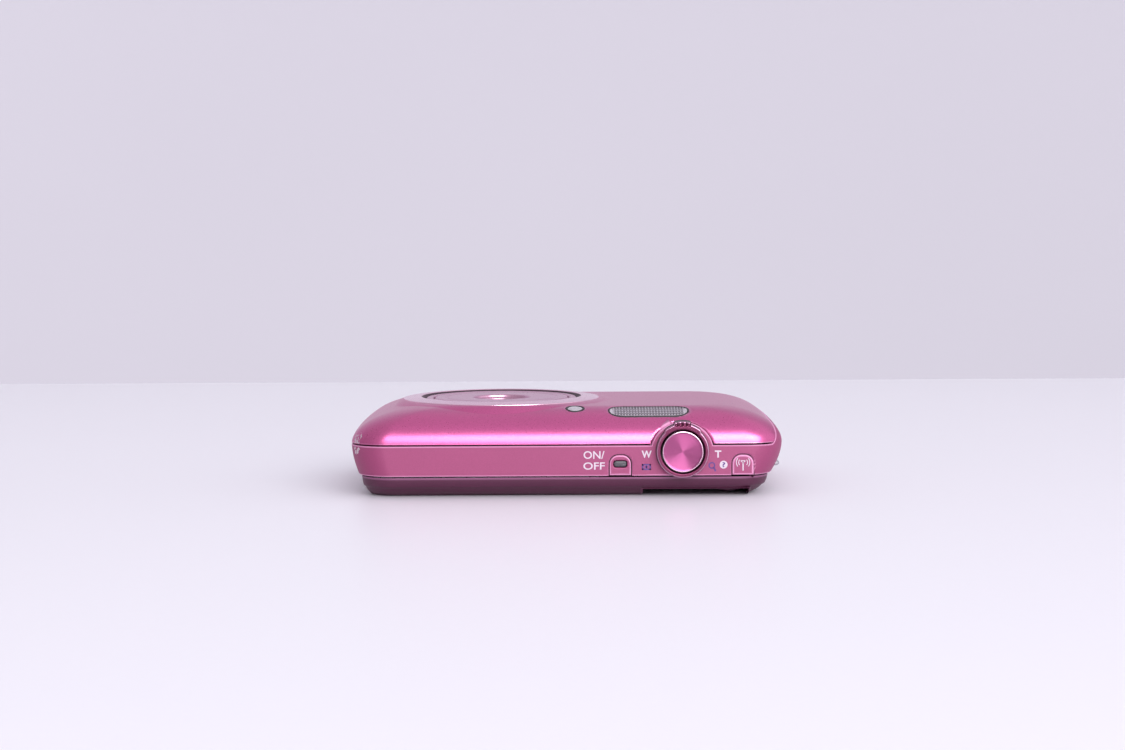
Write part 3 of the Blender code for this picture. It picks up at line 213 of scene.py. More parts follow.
chipColour = (0.62, 0.56, 0.60)
# the edge colours are paler colours painted as highlights on rounded edges, chamfers and rims; pink_metal's
# shade colour is a darker colour painted as shade
looks = {
    "pink_metal": {
        "colour": (0.53, 0.102, 0.270), "rough": 0.31, "metallic": 0.86, "coat": 0.2, "coatRough": 0.25,
        "flake": 0.10, "cloud": 0.03, "edgeHighlight": (0.86, 0.52, 0.74), "bump": 0.10,
        "paintedShade": (0.055, 0.004, 0.022), "chipAt": (-0.0464, -0.0255, 0.0125), "chipReach": 0.0066,
    },
    "pink_plastic": {
        "colour": (0.31, 0.046, 0.145), "rough": 0.55, "metallic": 0.2, "coat": 0.12, "coatRough": 0.3,
        "flake": 0.07, "cloud": 0.03, "edgeHighlight": (0.66, 0.27, 0.47),
        "chipAt": (-0.0466, -0.0258, 0.0102), "chipReach": 0.0052,
    },
    # the rear's pink painted far darker: painted shade of the side turned down to the table
    "plum_plastic": {
        "colour": (0.085, 0.012, 0.046), "rough": 0.5, "metallic": 0.15, "coat": 0.05, "flake": 0.06,
        "edgeHighlight": (0.24, 0.08, 0.17),
    },
    "ring_metal": {
        "colour": (0.84, 0.55, 0.68), "rough": 0.22, "metallic": 1.0, "stretch": 0.5, "cloud": 0.02,
        "bump": 0.06,
    },
    "barrel_metal": {
        "colour": (0.60, 0.34, 0.47), "rough": 0.3, "metallic": 1.0, "cloud": 0.02, "bump": 0.06,
    },
    "spun_metal": {
        "colour": (0.25, 0.062, 0.150), "rough": 0.25, "roughVary": 0.01, "metallic": 1.0,
        "stretch": 0.95, "cloud": 0.01, "edgeHighlight": (0.56, 0.38, 0.48), "bump": 0.0,
    },
    "black_plastic": {"colour": (0.018, 0.017, 0.02), "rough": 0.5, "cloud": 0.15},
    "clear_glass": {"colour": (0.92, 0.93, 0.97), "rough": 0.05, "roughVary": 0.02, "clear": 1.0,
                    "ior": 1.5},
    "clear_plastic": {
        "colour": (0.10, 0.07, 0.10), "rough": 0.2, "clear": 0.3, "ior": 1.49, "roughVary": 0.03,
        "edgeHighlight": (0.66, 0.60, 0.67),
    },
    "screen_cover": {"colour": (0.012, 0.012, 0.016), "rough": 0.08, "roughVary": 0.02, "coat": 1.0,
                     "bump": 0.02},
    "steel": {"colour": (0.52, 0.51, 0.54), "rough": 0.3, "metallic": 1.0, "cloud": 0.08},
    "reflector": {"colour": (0.86, 0.84, 0.88), "rough": 0.14, "metallic": 1.0, "cloud": 0.04},
    "board": {"colour": (0.02, 0.13, 0.05), "rough": 0.4, "cloud": 0.25, "cloudScale": 400.0, "coat": 0.4},
    "grey_plastic": {"colour": (0.10, 0.10, 0.12), "rough": 0.5, "cloud": 0.10},
    "soft_rubber": {"colour": (0.20, 0.040, 0.115), "rough": 0.62, "cloud": 0.06, "sheen": 0.15,
                    "bump": 0.3},
    "white_ink": {"colour": (0.66, 0.58, 0.66), "rough": 0.45, "cloud": 0.05},
    "violet_ink": {"colour": (0.085, 0.020, 0.20), "rough": 0.45, "cloud": 0.08},
    # dark_line is painted shade laid in the gaps round the keys, the zoom lever and the lens barrel; it is
    # also the ink of the OK mark
    "dark_line": {"colour": (0.035, 0.006, 0.022), "rough": 0.5, "cloud": 0.1},
    "lamp_lens": {"colour": (0.50, 0.47, 0.52), "rough": 0.12, "coat": 0.8, "cloud": 0.08, "clear": 0.15},
    "power_lens": {"colour": (0.050, 0.046, 0.060), "rough": 0.4, "coat": 0.1, "cloud": 0.08},
    "red_ink": {"colour": (0.55, 0.02, 0.03), "rough": 0.4, "cloud": 0.05},
    "table_paint": {"colour": (0.86, 0.845, 0.90), "rough": 0.42, "cloud": 0.012, "cloudScale": 5.0,
                    "grainScale": 600.0, "bump": 0.02, "specular": 0.35},
    "backdrop_paint": {"colour": (0.74, 0.71, 0.78), "rough": 0.8, "cloud": 0.03, "cloudScale": 1.5,
                       "grainScale": 300.0},
}
materials = {name: finish(name, look) for name, look in looks.items()}
for row in frame["record"]["subparts"]:
    node = frame["nodes"][row["node"]]
    node.data.materials.clear()
    node.data.materials.append(materials[row["material_slot"]])
print("materials made:", len(materials))


# mesh work


# quads between neighbouring rows and columns of a grid
def gridFaces(rows, columns, closeRows=False, closeColumns=False):
    up = np.arange(rows if closeRows else rows - 1)[:, None]
    across = np.arange(columns if closeColumns else columns - 1)[None]
    nextUp, nextAcross = (up + 1) % rows, (across + 1) % columns
    corners = (up * columns + across, up * columns + nextAcross, nextUp * columns + nextAcross,
               nextUp * columns + across)
    return np.stack(corners, -1).reshape(-1, 4)


# welds a numpy surface's poles and seams, turns its faces out and rides it on its body
def addPiece(name, points, faces, slot, body="root", replaced=(), edge=None, turn=None, wall=0.0, angle=34,
             awayFrom=None, shade=0.0):
    points = np.asarray(points, float).reshape(-1, 3)
    faces = faces.tolist() if isinstance(faces, np.ndarray) else faces
    mesh = bpy.data.meshes.new(name)
    mesh.from_pydata(points.tolist(), [], faces)
    if edge is not None:
        mark = mesh.attributes.new("edge", "FLOAT", "POINT")
        mark.data.foreach_set("value", np.asarray(edge, np.float32).ravel())
    # the shade mark: painted shade that darkens the piece's colour
    if shade:
        mark = mesh.attributes.new("shade", "FLOAT", "POINT")
        mark.data.foreach_set("value", np.full(len(mesh.vertices), shade, np.float32))
    if turn is not None:
        layer = mesh.uv_layers.new(name="turn")
        loops = np.empty(len(mesh.loops), np.int32)
        mesh.loops.foreach_get("vertex_index", loops)
        layer.data.foreach_set("uv", np.asarray(turn, np.float32).reshape(-1, 2)[loops].ravel())
    work = bmesh.new()
    work.from_mesh(mesh)
    bmesh.ops.remove_doubles(work, verts=work.verts, dist=0.002 * mm)
    bmesh.ops.delete(work, geom=[vertex for vertex in work.verts if not vertex.link_faces], context="VERTS")
    if awayFrom is None:
        bmesh.ops.recalc_face_normals(work, faces=work.faces)
    else:
        middle = Vector(awayFrom)
        inward = [face for face in work.faces
                  if (face.calc_center_median() - middle).dot(face.normal) < 0]
        bmesh.ops.reverse_faces(work, faces=inward)
    work.to_mesh(mesh)
    work.free()
    mesh.shade_smooth()
    mesh.set_sharp_from_angle(angle=math.radians(angle))
    mesh.materials.append(materials[slot])
    piece = bpy.data.objects.new(name, mesh)
    bpy.context.scene.collection.objects.link(piece)
    if wall:
        thick = piece.modifiers.new("wall", "SOLIDIFY")
        thick.thickness = wall
        thick.offset = -1
    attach(piece, body)
    if replaced:
        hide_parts(*replaced)
    return piece


# several surfaces as one: each one's faces count on from the points before it
def together(surfaces):
    counts = np.cumsum([0] + [len(points) for points, faces in surfaces])
    points = np.concatenate([points for points, faces in surfaces])
    faces = [(np.asarray(face) + start).tolist()
             for (_, group), start in zip(surfaces, counts) for face in group]
    return points, faces


# each corner C between neighbours A and B is swapped for (1-t)^2 A' + 2t(1-t) C + t^2 B'
def softened(points, radius, steps=4, closed=True):
    points = np.asarray(points, float)
    curves = []
    t = np.linspace(0, 1, steps + 1)[None, :, None]
    for neighbour in (np.roll(points, 1, 0), np.roll(points, -1, 0)):
        toward = neighbour - points
        length = np.linalg.norm(toward, axis=1, keepdims=True)
        curves.append(points + toward / np.maximum(length, 1e-9) * np.minimum(radius, 0.49 * length))
    start, end = curves
    rounded = (1 - t) ** 2 * start[:, None] + 2 * t * (1 - t) * points[:, None] + t**2 * end[:, None]
    if closed:
        return rounded.reshape(-1, points.shape[1])
    return np.concatenate([points[:1], rounded[1:-1].reshape(-1, points.shape[1]), points[-1:]])


# points evenly spaced along a closed outline
def respaced(outline, count):
    ring = np.vstack([outline, outline[:1]])
    run = np.concatenate([[0], np.cumsum(np.linalg.norm(np.diff(ring, axis=0), axis=1))])
    wanted = np.linspace(0, run[-1], count, endpoint=False)
    return np.stack([np.interp(wanted, run, ring[:, axis]) for axis in range(2)], 1)


# where rays from the middle cross the outline
def byAngle(outline, middle, angles):
    dense = respaced(outline, 1440) - middle
    bearing = np.mod(np.arctan2(dense[:, 1], dense[:, 0]), 2 * np.pi)
    order = np.argsort(bearing)
    distance = np.linalg.norm(dense, axis=1)[order]
    reach = np.interp(np.mod(angles, 2 * np.pi), bearing[order], distance, period=2 * np.pi)
    return middle + reach[:, None] * np.stack([np.cos(angles), np.sin(angles)], 1)


def arcPoints(middle, radius, start, end, count):
    # start and end in degrees
    angle = np.radians(np.linspace(start, end, count))
    return np.stack([middle[0] + radius * np.cos(angle), middle[1] + radius * np.sin(angle)], 1)


def circle(radius, count=96):
    return arcPoints((0, 0), radius, 0, 360, count + 1)[:-1]


def oblong(width, height, corner):
    x, y = width / 2, height / 2
    return softened([(x, -y), (x, y), (-x, y), (-x, -y)], corner, 8)


# a (radius, height) profile carried round its axis: x = r cos a, y = r sin a, z = h
def revolve(name, profile, slot, side, at, body="root", replaced=(), steps=144, closed=False, bright=None):
    profile = np.asarray(profile, float)
    angle = np.linspace(0, 2 * np.pi, steps, endpoint=False)[None]
    radius, height = profile[:, :1], profile[:, 1:]
    local = np.stack([radius * np.cos(angle), radius * np.sin(angle), height + 0 * angle], -1)
    turn = np.stack([radius / mm + 0 * angle, angle + 0 * radius], -1)
    edge = None
    # the bright rows carry the edge mark: a painted highlight where the material has an edge colour
    if bright:
        edge = ((radius >= bright[0]) & (radius <= bright[1])) * np.ones_like(angle)
    faces = gridFaces(len(profile), steps, closed, True)
    return addPiece(name, onSide(local, side, at), faces, slot, body, replaced, edge=edge, turn=turn)


# an outline carried from its floor up the side, over a rounded edge and in to the middle as a dome
def pad(name, outline, floor, top, slot, side, at, body="root", replaced=(), roundEdge=0.15 * mm,
        dome=0.0, count=120, rings=8, relief=None):
    ring = respaced(outline, count)
    middle = ring.mean(0)
    along = np.roll(ring, -1, 0) - np.roll(ring, 1, 0)
    outward = np.stack([along[:, 1], -along[:, 0]], 1)
    outward /= np.linalg.norm(outward, axis=1, keepdims=True)
    turn = np.linspace(0, quarter, 5)
    inset = np.concatenate([[0.0], roundEdge * (1 - np.cos(turn))])
    height = np.concatenate([[floor], top - roundEdge + roundEdge * np.sin(turn)])
    sideRows = ring[None] - inset[:, None, None] * outward[None]
    share = np.linspace(1, 0, rings + 1)[1:]
    faceRows = middle + (sideRows[-1] - middle)[None] * share[:, None, None]
    rows = np.concatenate([np.broadcast_to(middle, (1, count, 2)), sideRows, faceRows])
    heights = np.concatenate([[floor], height, top + dome * (1 - share**2)])
    local = np.concatenate([rows, np.broadcast_to(heights[:, None, None], rows.shape[:2] + (1,))], -1)
    # the rounded edge's rows carry the edge mark: a painted highlight
    edge = np.zeros(rows.shape[:2])
    edge[2:7] = 1.0
    if relief is not None:
        local[6:, :, 2] += relief(local[6:, :, 0], local[6:, :, 1])
    faces = gridFaces(len(rows), count, False, True)
    return addPiece(name, onSide(local, side, at), faces, slot, body, replaced, edge=edge)


# the same round an opening: up the outer side, across the face and down the inner side
def openPad(name, outer, inner, floor, top, slot, side, at, body="root", replaced=(),
            roundEdge=0.15 * mm, count=160, across=6, relief=None, middle=(0.0, 0.0), shade=0.0):
    angles = np.linspace(0, 2 * np.pi, count, endpoint=False)
    far, near = (byAngle(outline, np.array(middle), angles) for outline in (outer, inner))
    ray = np.stack([np.cos(angles), np.sin(angles)], 1)
    turn = np.linspace(0, quarter, 4)
    rows = [(far, floor)]
    rows += [(far - ray * roundEdge * (1 - math.cos(t)), top - roundEdge * (1 - math.sin(t))) for t in turn]
    start, end = far - ray * roundEdge, near + ray * roundEdge
    rows += [(start + (end - start) * share, top) for share in np.linspace(0, 1, across)[1:-1]]
    rows += [(near + ray * roundEdge * (1 - math.cos(t)), top - roundEdge * (1 - math.sin(t)))
             for t in turn[::-1]]
    rows += [(near, floor)]
    local = np.array([np.column_stack([ring, np.full(count, height)]) for ring, height in rows])
    if relief is not None:
        local[3:-3, :, 2] += relief(local[3:-3, :, 0], local[3:-3, :, 1])
    # the rounded edges' rows carry the edge mark, a painted highlight, which the shade mark's painted shade
    # dims
    edge = np.zeros(local.shape[:2])
    edge[1:5] = 1.0
    faces = gridFaces(len(rows), count, True, True)
    return addPiece(name, onSide(local, side, at), faces, slot, body, replaced,
                    edge=edge * (1 - 0.7 * shade), shade=shade)


# a flat ribbon of ink along a path: four corners at each point, closed to a point at both ends
def stroke(path, width, height=0.02 * mm, closed=False):
    path = np.asarray(path, float)
    if closed:
        along = np.roll(path, -1, 0) - np.roll(path, 1, 0)
    else:
        along = np.gradient(path, axis=0)
    length = np.linalg.norm(along, axis=1, keepdims=True)
    across = np.stack([along[:, 1], -along[:, 0]], 1) / length * width / 2
    corners = [(path + across, -height), (path + across, height), (path - across, height),
               (path - across, -height)]
    rows = np.stack([np.column_stack([ring, np.full(len(path), level)]) for ring, level in corners], 1)
    if not closed:
        ends = [np.broadcast_to(rows[k].mean(0), (1, 4, 3)) for k in (0, -1)]
        rows = np.concatenate([ends[0], rows, ends[1]])
    return rows.reshape(-1, 3), gridFaces(len(rows), 4, closed, True)


def drawn(name, strokes, slot, side, at, body="root"):
    points, faces = together(strokes)
    return addPiece(name, onSide(points, side, at), faces, slot, body)


# letters become a mesh first and are then fitted between two corners
def lettering(name, words, lowCorner, highCorner, slot, side, at, body="root", bold=0.0):
    curve = bpy.data.curves.new(name, "FONT")
    curve.body = words
    curve.extrude = 0.02
    curve.offset = bold
    curve.resolution_u = 4
    holder = bpy.data.objects.new(name + "Curve", curve)
    bpy.context.scene.collection.objects.link(holder)
    made = bpy.data.meshes.new_from_object(holder.evaluated_get(bpy.context.evaluated_depsgraph_get()))
    points = np.array([vertex.co[:] for vertex in made.vertices])
    faces = [list(face.vertices) for face in made.polygons]
    bpy.data.objects.remove(holder)
    low, high = points.min(0), points.max(0)
    size = np.array(highCorner) - np.array(lowCorner)
    points[:, :2] = np.array(lowCorner) + (points[:, :2] - low[:2]) / (high - low)[:2] * size
    points[:, 2] = np.where(points[:, 2] > 0, 0.022 * mm, -0.02 * mm)
    return addPiece(name, onSide(points, side, at), faces, slot, body)


# holes: the faces inside go, and the rim that is left slides onto the hole's outline


def circleHole(middle, radius):
    return lambda p: np.hypot(p[..., 0] - middle[0], p[..., 1] - middle[1]) - radius


def boxHole(middle, half, corner=0.0):
    def distance(p):
        q = np.abs(np.stack([p[..., 0] - middle[0], p[..., 1] - middle[1]], -1)) - np.array(half) + corner
        return np.linalg.norm(np.maximum(q, 0), axis=-1) + np.minimum(q.max(-1), 0) - corner
    return distance


def outlineHole(outline):
    # a convex outline as the furthest of its sides' distances
    outline = np.asarray(outline, float)
    along = np.roll(outline, -1, 0) - outline
    length = np.linalg.norm(along, axis=1)
    outline, along = outline[length > 1e-7], along[length > 1e-7]
    normal = np.stack([along[:, 1], -along[:, 0]], 1)
    normal /= np.linalg.norm(normal, axis=1, keepdims=True)
    shift = (normal * outline).sum(1)
    return lambda p: (p @ normal.T - shift).max(-1)


# axes are the two coordinates the hole is drawn in, refit puts a moved point back on the surface
def carve(points, faces, edge, distance, axes, where, refit):
    centres = points[faces].mean(1)
    gone = (distance(centres[:, axes]) < 0) & where(centres)
    touched, used = np.zeros(len(points), bool), np.zeros(len(points), bool)
    touched[faces[gone].ravel()] = True
    kept = faces[~gone]
    used[kept.ravel()] = True
    rim = np.flatnonzero(touched & used)
    flat = points[rim][:, axes]
    step = 0.01 * mm
    for _ in range(3):
        off = distance(flat)
        slope = np.stack([(distance(flat + shift) - off) / step
                          for shift in (np.array([step, 0]), np.array([0, step]))], 1)
        flat = flat - off[:, None] * slope / np.maximum((slope**2).sum(1), 0.2)[:, None]
    moved = points[rim]
    moved[:, axes] = flat
    points[rim] = refit(moved)
    # the rim carries part of the edge mark: a faint painted highlight
    edge[rim] = 0.3
    return kept


# the body form


def section(z):
    # reach to the left and right, half height and corner radius at height z
    z = np.asarray(z, float)
    seam, rear = body["seamZ"], body["rearTop"]
    rise = np.clip((z - seam) / (crownZ - seam), 0, 1)
    front = 1 - np.sqrt(1 - rise**2)
    belt = np.clip((seam - z) / (seam - rear), 0, 1) ** body["beltCurve"]
    fall = np.clip((rear - z) / rear, 0, 1)
    back = 1 - np.sqrt(1 - fall**2)
    isRear, isFront = z <= rear, z > seam
    step = body["rearStep"]
    reach = []
    for end in ("Left", "Right"):
        beltLean = body["beltLean" + end]
        behind = np.where(isRear, beltLean + step + body["rearLean" + end] * back, beltLean * belt)
        reach.append(halfWidth - np.where(isFront, body["lean" + end] * front, behind))
    left, right = reach
    lean = np.where(isFront, body["leanY"] * front, np.where(isRear, step + body["rearLeanY"] * back, 0))
    trim = np.where(isFront, body["frontPinch"] * body["corner"] * front,
                    np.where(isRear, step + body["rearPinch"] * body["corner"] * back, 0))
    return left, right, halfHeight - lean, body["corner"] - trim


# a way round the body, each stretch between two (right share, base share, degrees)
def wayRound(stretches):
    rows = []
    for start, end, count in stretches:
        t = np.linspace(0, 1, count, endpoint=False)[:, None]
        rows.append(np.array([start]) * (1 - t) + np.array([end]) * t)
    return np.concatenate(rows)


def wholeWay(fineness=1.0):
    long, short, bend = int(150 * fineness), int(60 * fineness), int(26 * fineness)
    return wayRound((
        ((1, 0, 0), (1, 1, 0), short), ((1, 1, 0), (1, 1, 90), bend), ((1, 1, 90), (0, 1, 90), long),
        ((0, 1, 90), (0, 1, 180), bend), ((0, 1, 180), (0, 0, 180), short),
        ((0, 0, 180), (0, 0, 270), bend),
        ((0, 0, 270), (1, 0, 270), long), ((1, 0, 270), (1, 0, 360), bend),
    ))


# corner middle plus radius times the outward normal, then pinched towards the top and the base
def outlineAt(way, z, inset=0.0):
    left, right, halfY, corner = section(z)
    angle = np.radians(way[:, 2])
    x = way[:, 0] * (right - corner) - (1 - way[:, 0]) * (left - corner) + (corner - inset) * np.cos(angle)
    y = (2 * way[:, 1] - 1) * (halfY - corner) + (corner - inset) * np.sin(angle)
    return x * bowAt(y), y


def bowAt(y):
    return 1 - body["endBow"] * (y / halfHeight) ** 2


def smoothStep(value):
    value = np.clip(value, 0, 1)
    return value * value * (3 - 2 * value)


seamPath = {"gripStart": 3.2 * mm, "gripRun": 3.1 * mm, "baseStart": 12 * mm, "baseRun": 30 * mm}


def seamHeight(x, y):
    # low along the top plate, higher round the grip end and along the base
    grip = smoothStep((x - halfWidth + seamPath["gripStart"]) / seamPath["gripRun"])
    base = smoothStep((y + seamPath["baseStart"]) / seamPath["baseRun"])
    return body["seamZ"] + np.maximum(body["gripRise"] * grip, body["seamRise"] * base)


def frontZ(x, y):
    # how far the front outline has leant in where it passes over (x, y), by halving the range,
    # then z = seam + rise sqrt(1 - (1 - lean)^2)
    x = x / bowAt(y)
    lowLean, highLean = np.zeros_like(x), np.ones_like(x)
    for _ in range(26):
        lean = (lowLean + highLean) / 2
        left, right = halfWidth - body["leanLeft"] * lean, halfWidth - body["leanRight"] * lean
        corner = body["corner"] * (1 - body["frontPinch"] * lean)
        qx = np.abs(x - (right - left) / 2) - (right + left) / 2 + corner
        qy = np.abs(y) - (halfHeight - body["leanY"] * lean) + corner
        outside = np.hypot(np.maximum(qx, 0), np.maximum(qy, 0)) + np.minimum(np.maximum(qx, qy), 0)
        outside -= corner
        highLean = np.where(outside > 0, lean, highLean)
        lowLean = np.where(outside > 0, lowLean, lean)
    return body["seamZ"] + (crownZ - body["seamZ"]) * np.sqrt(1 - (1 - lowLean) ** 2)


# how far out the body's surface stands at (a, b) of a side
def surfaceOf(side, a, b):
    if side == "front":
        return frontZ(a, b)
    if side == "back":
        return 0 * a
    if side == "grip":
        return section(b)[1] * bowAt(a)
    return section(b)[2]


def onFront(points):
    points[:, 2] = frontZ(points[:, 0], points[:, 1])
    return points


def onSlope(points):
    # beside the top plate and the base, y follows from the height
    points[:, 1] = np.sign(points[:, 1]) * section(points[:, 2])[2]
    return points


def onGripEnd(points):
    points[:, 0] = section(points[:, 2])[1] * bowAt(points[:, 1])
    return points


def asItIs(points):
    return points


# front shell

shutter = {"at": (25.0 * mm, 10.1 * mm), "radius": 4.45 * mm, "proud": 2.2 * mm}
arch = {"radius": 6.75 * mm, "height": 6.2 * mm, "gap": 0.17 * mm, "depth": 3.3 * mm}
flash = {"at": (17.9 * mm, -23.0 * mm), "size": (17.4 * mm, 4.9 * mm), "gap": 0.16 * mm, "ribs": 27,
         "ribHeight": 0.11 * mm, "trough": (8.2 * mm, 2.2 * mm, 2.4 * mm), "under": (18 * mm, 0, 0)}
lamp = {"at": (1.85 * mm, -21.6 * mm), "radius": 2.05 * mm}
microphone = {"at": (14.0 * mm, 15.0 * mm), "hole": 0.4 * mm}
shell = {"rows": 78, "metal": 0.8 * mm, "plastic": 1.2 * mm, "chamfer": 0.22 * mm, "skirtRows": 12,
         "skirtTop": 19.55 * mm, "skirtIn": 22.2 * mm, "skirtOut": 24.5 * mm}


def archOutline(extra, floor):
    # a half circle pressed a little flat, standing on straight legs
    radius = arch["radius"] + extra
    top = arcPoints((0, 0), radius, 0, 180, 60)
    top[:, 1] *= (arch["height"] + extra) / radius
    return np.vstack([[(radius, floor)], top, [(-radius, floor)]])


def flashOutline(extra=0.0, soft=1.3 * mm):
    # a long window whose ends come to blunt points
    x, y = flash["size"][0] / 2 + extra, flash["size"][1] / 2 + extra
    tip, shoulder = 0.28 * flash["size"][1], 0.42 * flash["size"][1]
    corners = [(x, -tip), (x, tip), (x - shoulder, y), (-x + shoulder, y), (-x, tip), (-x, -tip),
               (-x + shoulder, -y), (x - shoulder, -y)]
    return softened(corners, soft, 6)


def makeFrontShell():
    # lines run out from the lens to the seam: first down the skirt round the lens, a swelling curve
    # z = foot + rise (1 - s^1.8), then over the form, and last in under a fine chamfer
    way = wholeWay()
    x, y = outlineAt(way, body["seamZ"])
    seam = seamHeight(x, y) + body["gap"]
    x, y = outlineAt(way, seam)
    reach, bearing = np.hypot(x - lensX, y - lensY), np.arctan2(y - lensY, x - lensX)
    t = np.linspace(0, 1, shell["rows"])[1:, None]
    start = np.minimum(shell["skirtOut"], reach - 0.9 * mm)
    skirtShare = np.linspace(0, 1, shell["skirtRows"])[:, None]
    radius = np.concatenate([
        shell["skirtIn"] + (start - shell["skirtIn"]) * skirtShare,
        start + (reach - start) * (1 - (1 - t) ** 2),
    ])
    px, py = lensX + radius * np.cos(bearing), lensY + radius * np.sin(bearing)
    pz = np.maximum(frontZ(px, py), seam)
    skirt, foot = slice(shell["skirtRows"]), pz[shell["skirtRows"] - 1].copy()
    rise = np.maximum(shell["skirtTop"] - foot, 0)
    pz[skirt] = np.maximum(pz[skirt], foot + rise * (1 - skirtShare**1.8))
    points = np.stack([px, py, pz], -1)
    lx, ly = outlineAt(way, seam + shell["chamfer"])
    points[-1] = np.stack([lx, ly, seam + shell["chamfer"]], -1)
    ex, ey = outlineAt(way, seam, shell["chamfer"])
    points = np.concatenate([points, np.stack([ex, ey, seam], -1)[None]])
    # the chamfer rows carry the edge mark: a painted highlight along the polished chamfer
    edge = np.zeros(points.shape[:2])
    edge[-2:] = 1.0
    faces = gridFaces(len(points), points.shape[1], False, True)
    points, edge = points.reshape(-1, 3), edge.ravel()

    def anywhere(centres):
        return centres[:, 2] > 0

    holes = (
        (outlineHole(flashOutline(flash["gap"]) + np.array(flash["at"])), [0, 1], anywhere, onFront),
        (circleHole(lamp["at"], lamp["radius"] + 0.1 * mm), [0, 1], anywhere, onFront),
        (outlineHole(archOutline(arch["gap"], -4 * mm) + np.array(shutter["at"])), [0, 2],
         lambda centres: centres[:, 1] < -12 * mm, onSlope),
        (circleHole(microphone["at"], microphone["hole"]), [0, 1], anywhere, onFront),
    )
    for distance, axes, where, refit in holes:
        faces = carve(points, faces, edge, distance, axes, where, refit)
    return addPiece("frontShell", points, faces, "pink_metal", "root", ("front_cover",), edge=edge,
                    wall=shell["metal"], awayFrom=bodyMiddle)


# top plate, base and rear shells

beltLow = body["rearTop"] + body["gap"]
belt = {"rows": 34, "chamfer": 0.13 * mm, "ledge": 0.9 * mm}
splitShare = (body["split"] / (halfHeight - body["corner"]) + 1) / 2
keyHole = {"width": 4.6 * mm, "top": 9.2 * mm, "corner": 1.9 * mm, "gap": 0.22 * mm,
           "low": beltLow + 0.15 * mm}
keyAt = {"power": 11.55 * mm, "wireless": 38.1 * mm}
connector = {"at": (1.0 * mm, 8.3 * mm), "half": (6.5 * mm, 2.7 * mm), "gap": 0.2 * mm}
eyelet = {"at": (-15.5 * mm, 5.95 * mm), "half": (3.6 * mm, 1.25 * mm)}
door = {"x": (8.1 * mm, 40.6 * mm), "z": (5.6 * mm, 13.45 * mm), "gap": 0.18 * mm}
doorSlot = {"at": (24.35 * mm, 10.85 * mm), "size": (9.4 * mm, 2.0 * mm, 0.35 * mm)}
tripod = {"x": -2.0 * mm, "z": 9.4 * mm, "radius": 3.175 * mm, "rim": 0.7 * mm, "depth": 5.2 * mm,
          "thread": 4.8 * mm, "turns": 4, "bite": 0.144 * mm}
screw = {"x": (-36 * mm, -22 * mm), "head": 1.5 * mm, "hole": 1.6 * mm}
speaker = {"x": -29 * mm, "apart": 1.3 * mm, "radius": 0.4 * mm, "holes": range(-2, 3)}


def keyOutline(extra=0.0):
    x, top, floor = keyHole["width"] / 2 + extra, keyHole["top"] + extra, keyHole["low"] - extra
    corner = keyHole["corner"] + extra
    upper = np.vstack([arcPoints((x - corner, top - corner), corner, 0, 90, 14),
                       arcPoints((-x + corner, top - corner), corner, 90, 180, 14)])
    return np.vstack([[(x, floor)], upper, [(-x, floor)]])


# columns of the belt from its lower chamfer to its upper one, then turned in as a short ledge
def beltGrid(way):
    chamfer = belt["chamfer"]
    x, y = outlineAt(way, body["seamZ"])
    top = seamHeight(x, y) - body["gap"]
    share = np.linspace(0, 1, belt["rows"])[:, None]
    z = beltLow + chamfer + (top - beltLow - 2 * chamfer) * share
    px, py = outlineAt(way, z)
    grid = [np.stack([px, py, z], -1)]
    for level, inset in ((0 * top + beltLow, chamfer), (top, chamfer), (top, belt["ledge"])):
        ex, ey = outlineAt(way, level, inset)
        grid.append(np.stack([ex, ey, level], -1)[None])
    return np.concatenate([grid[1], grid[0], grid[2], grid[3]])


def beltEdge(shape):
    # the chamfer rows carry the edge mark: a painted highlight
    edge = np.zeros(shape[:2])
    edge[[0, 1, -3, -2]] = 1.0
    return edge.ravel()


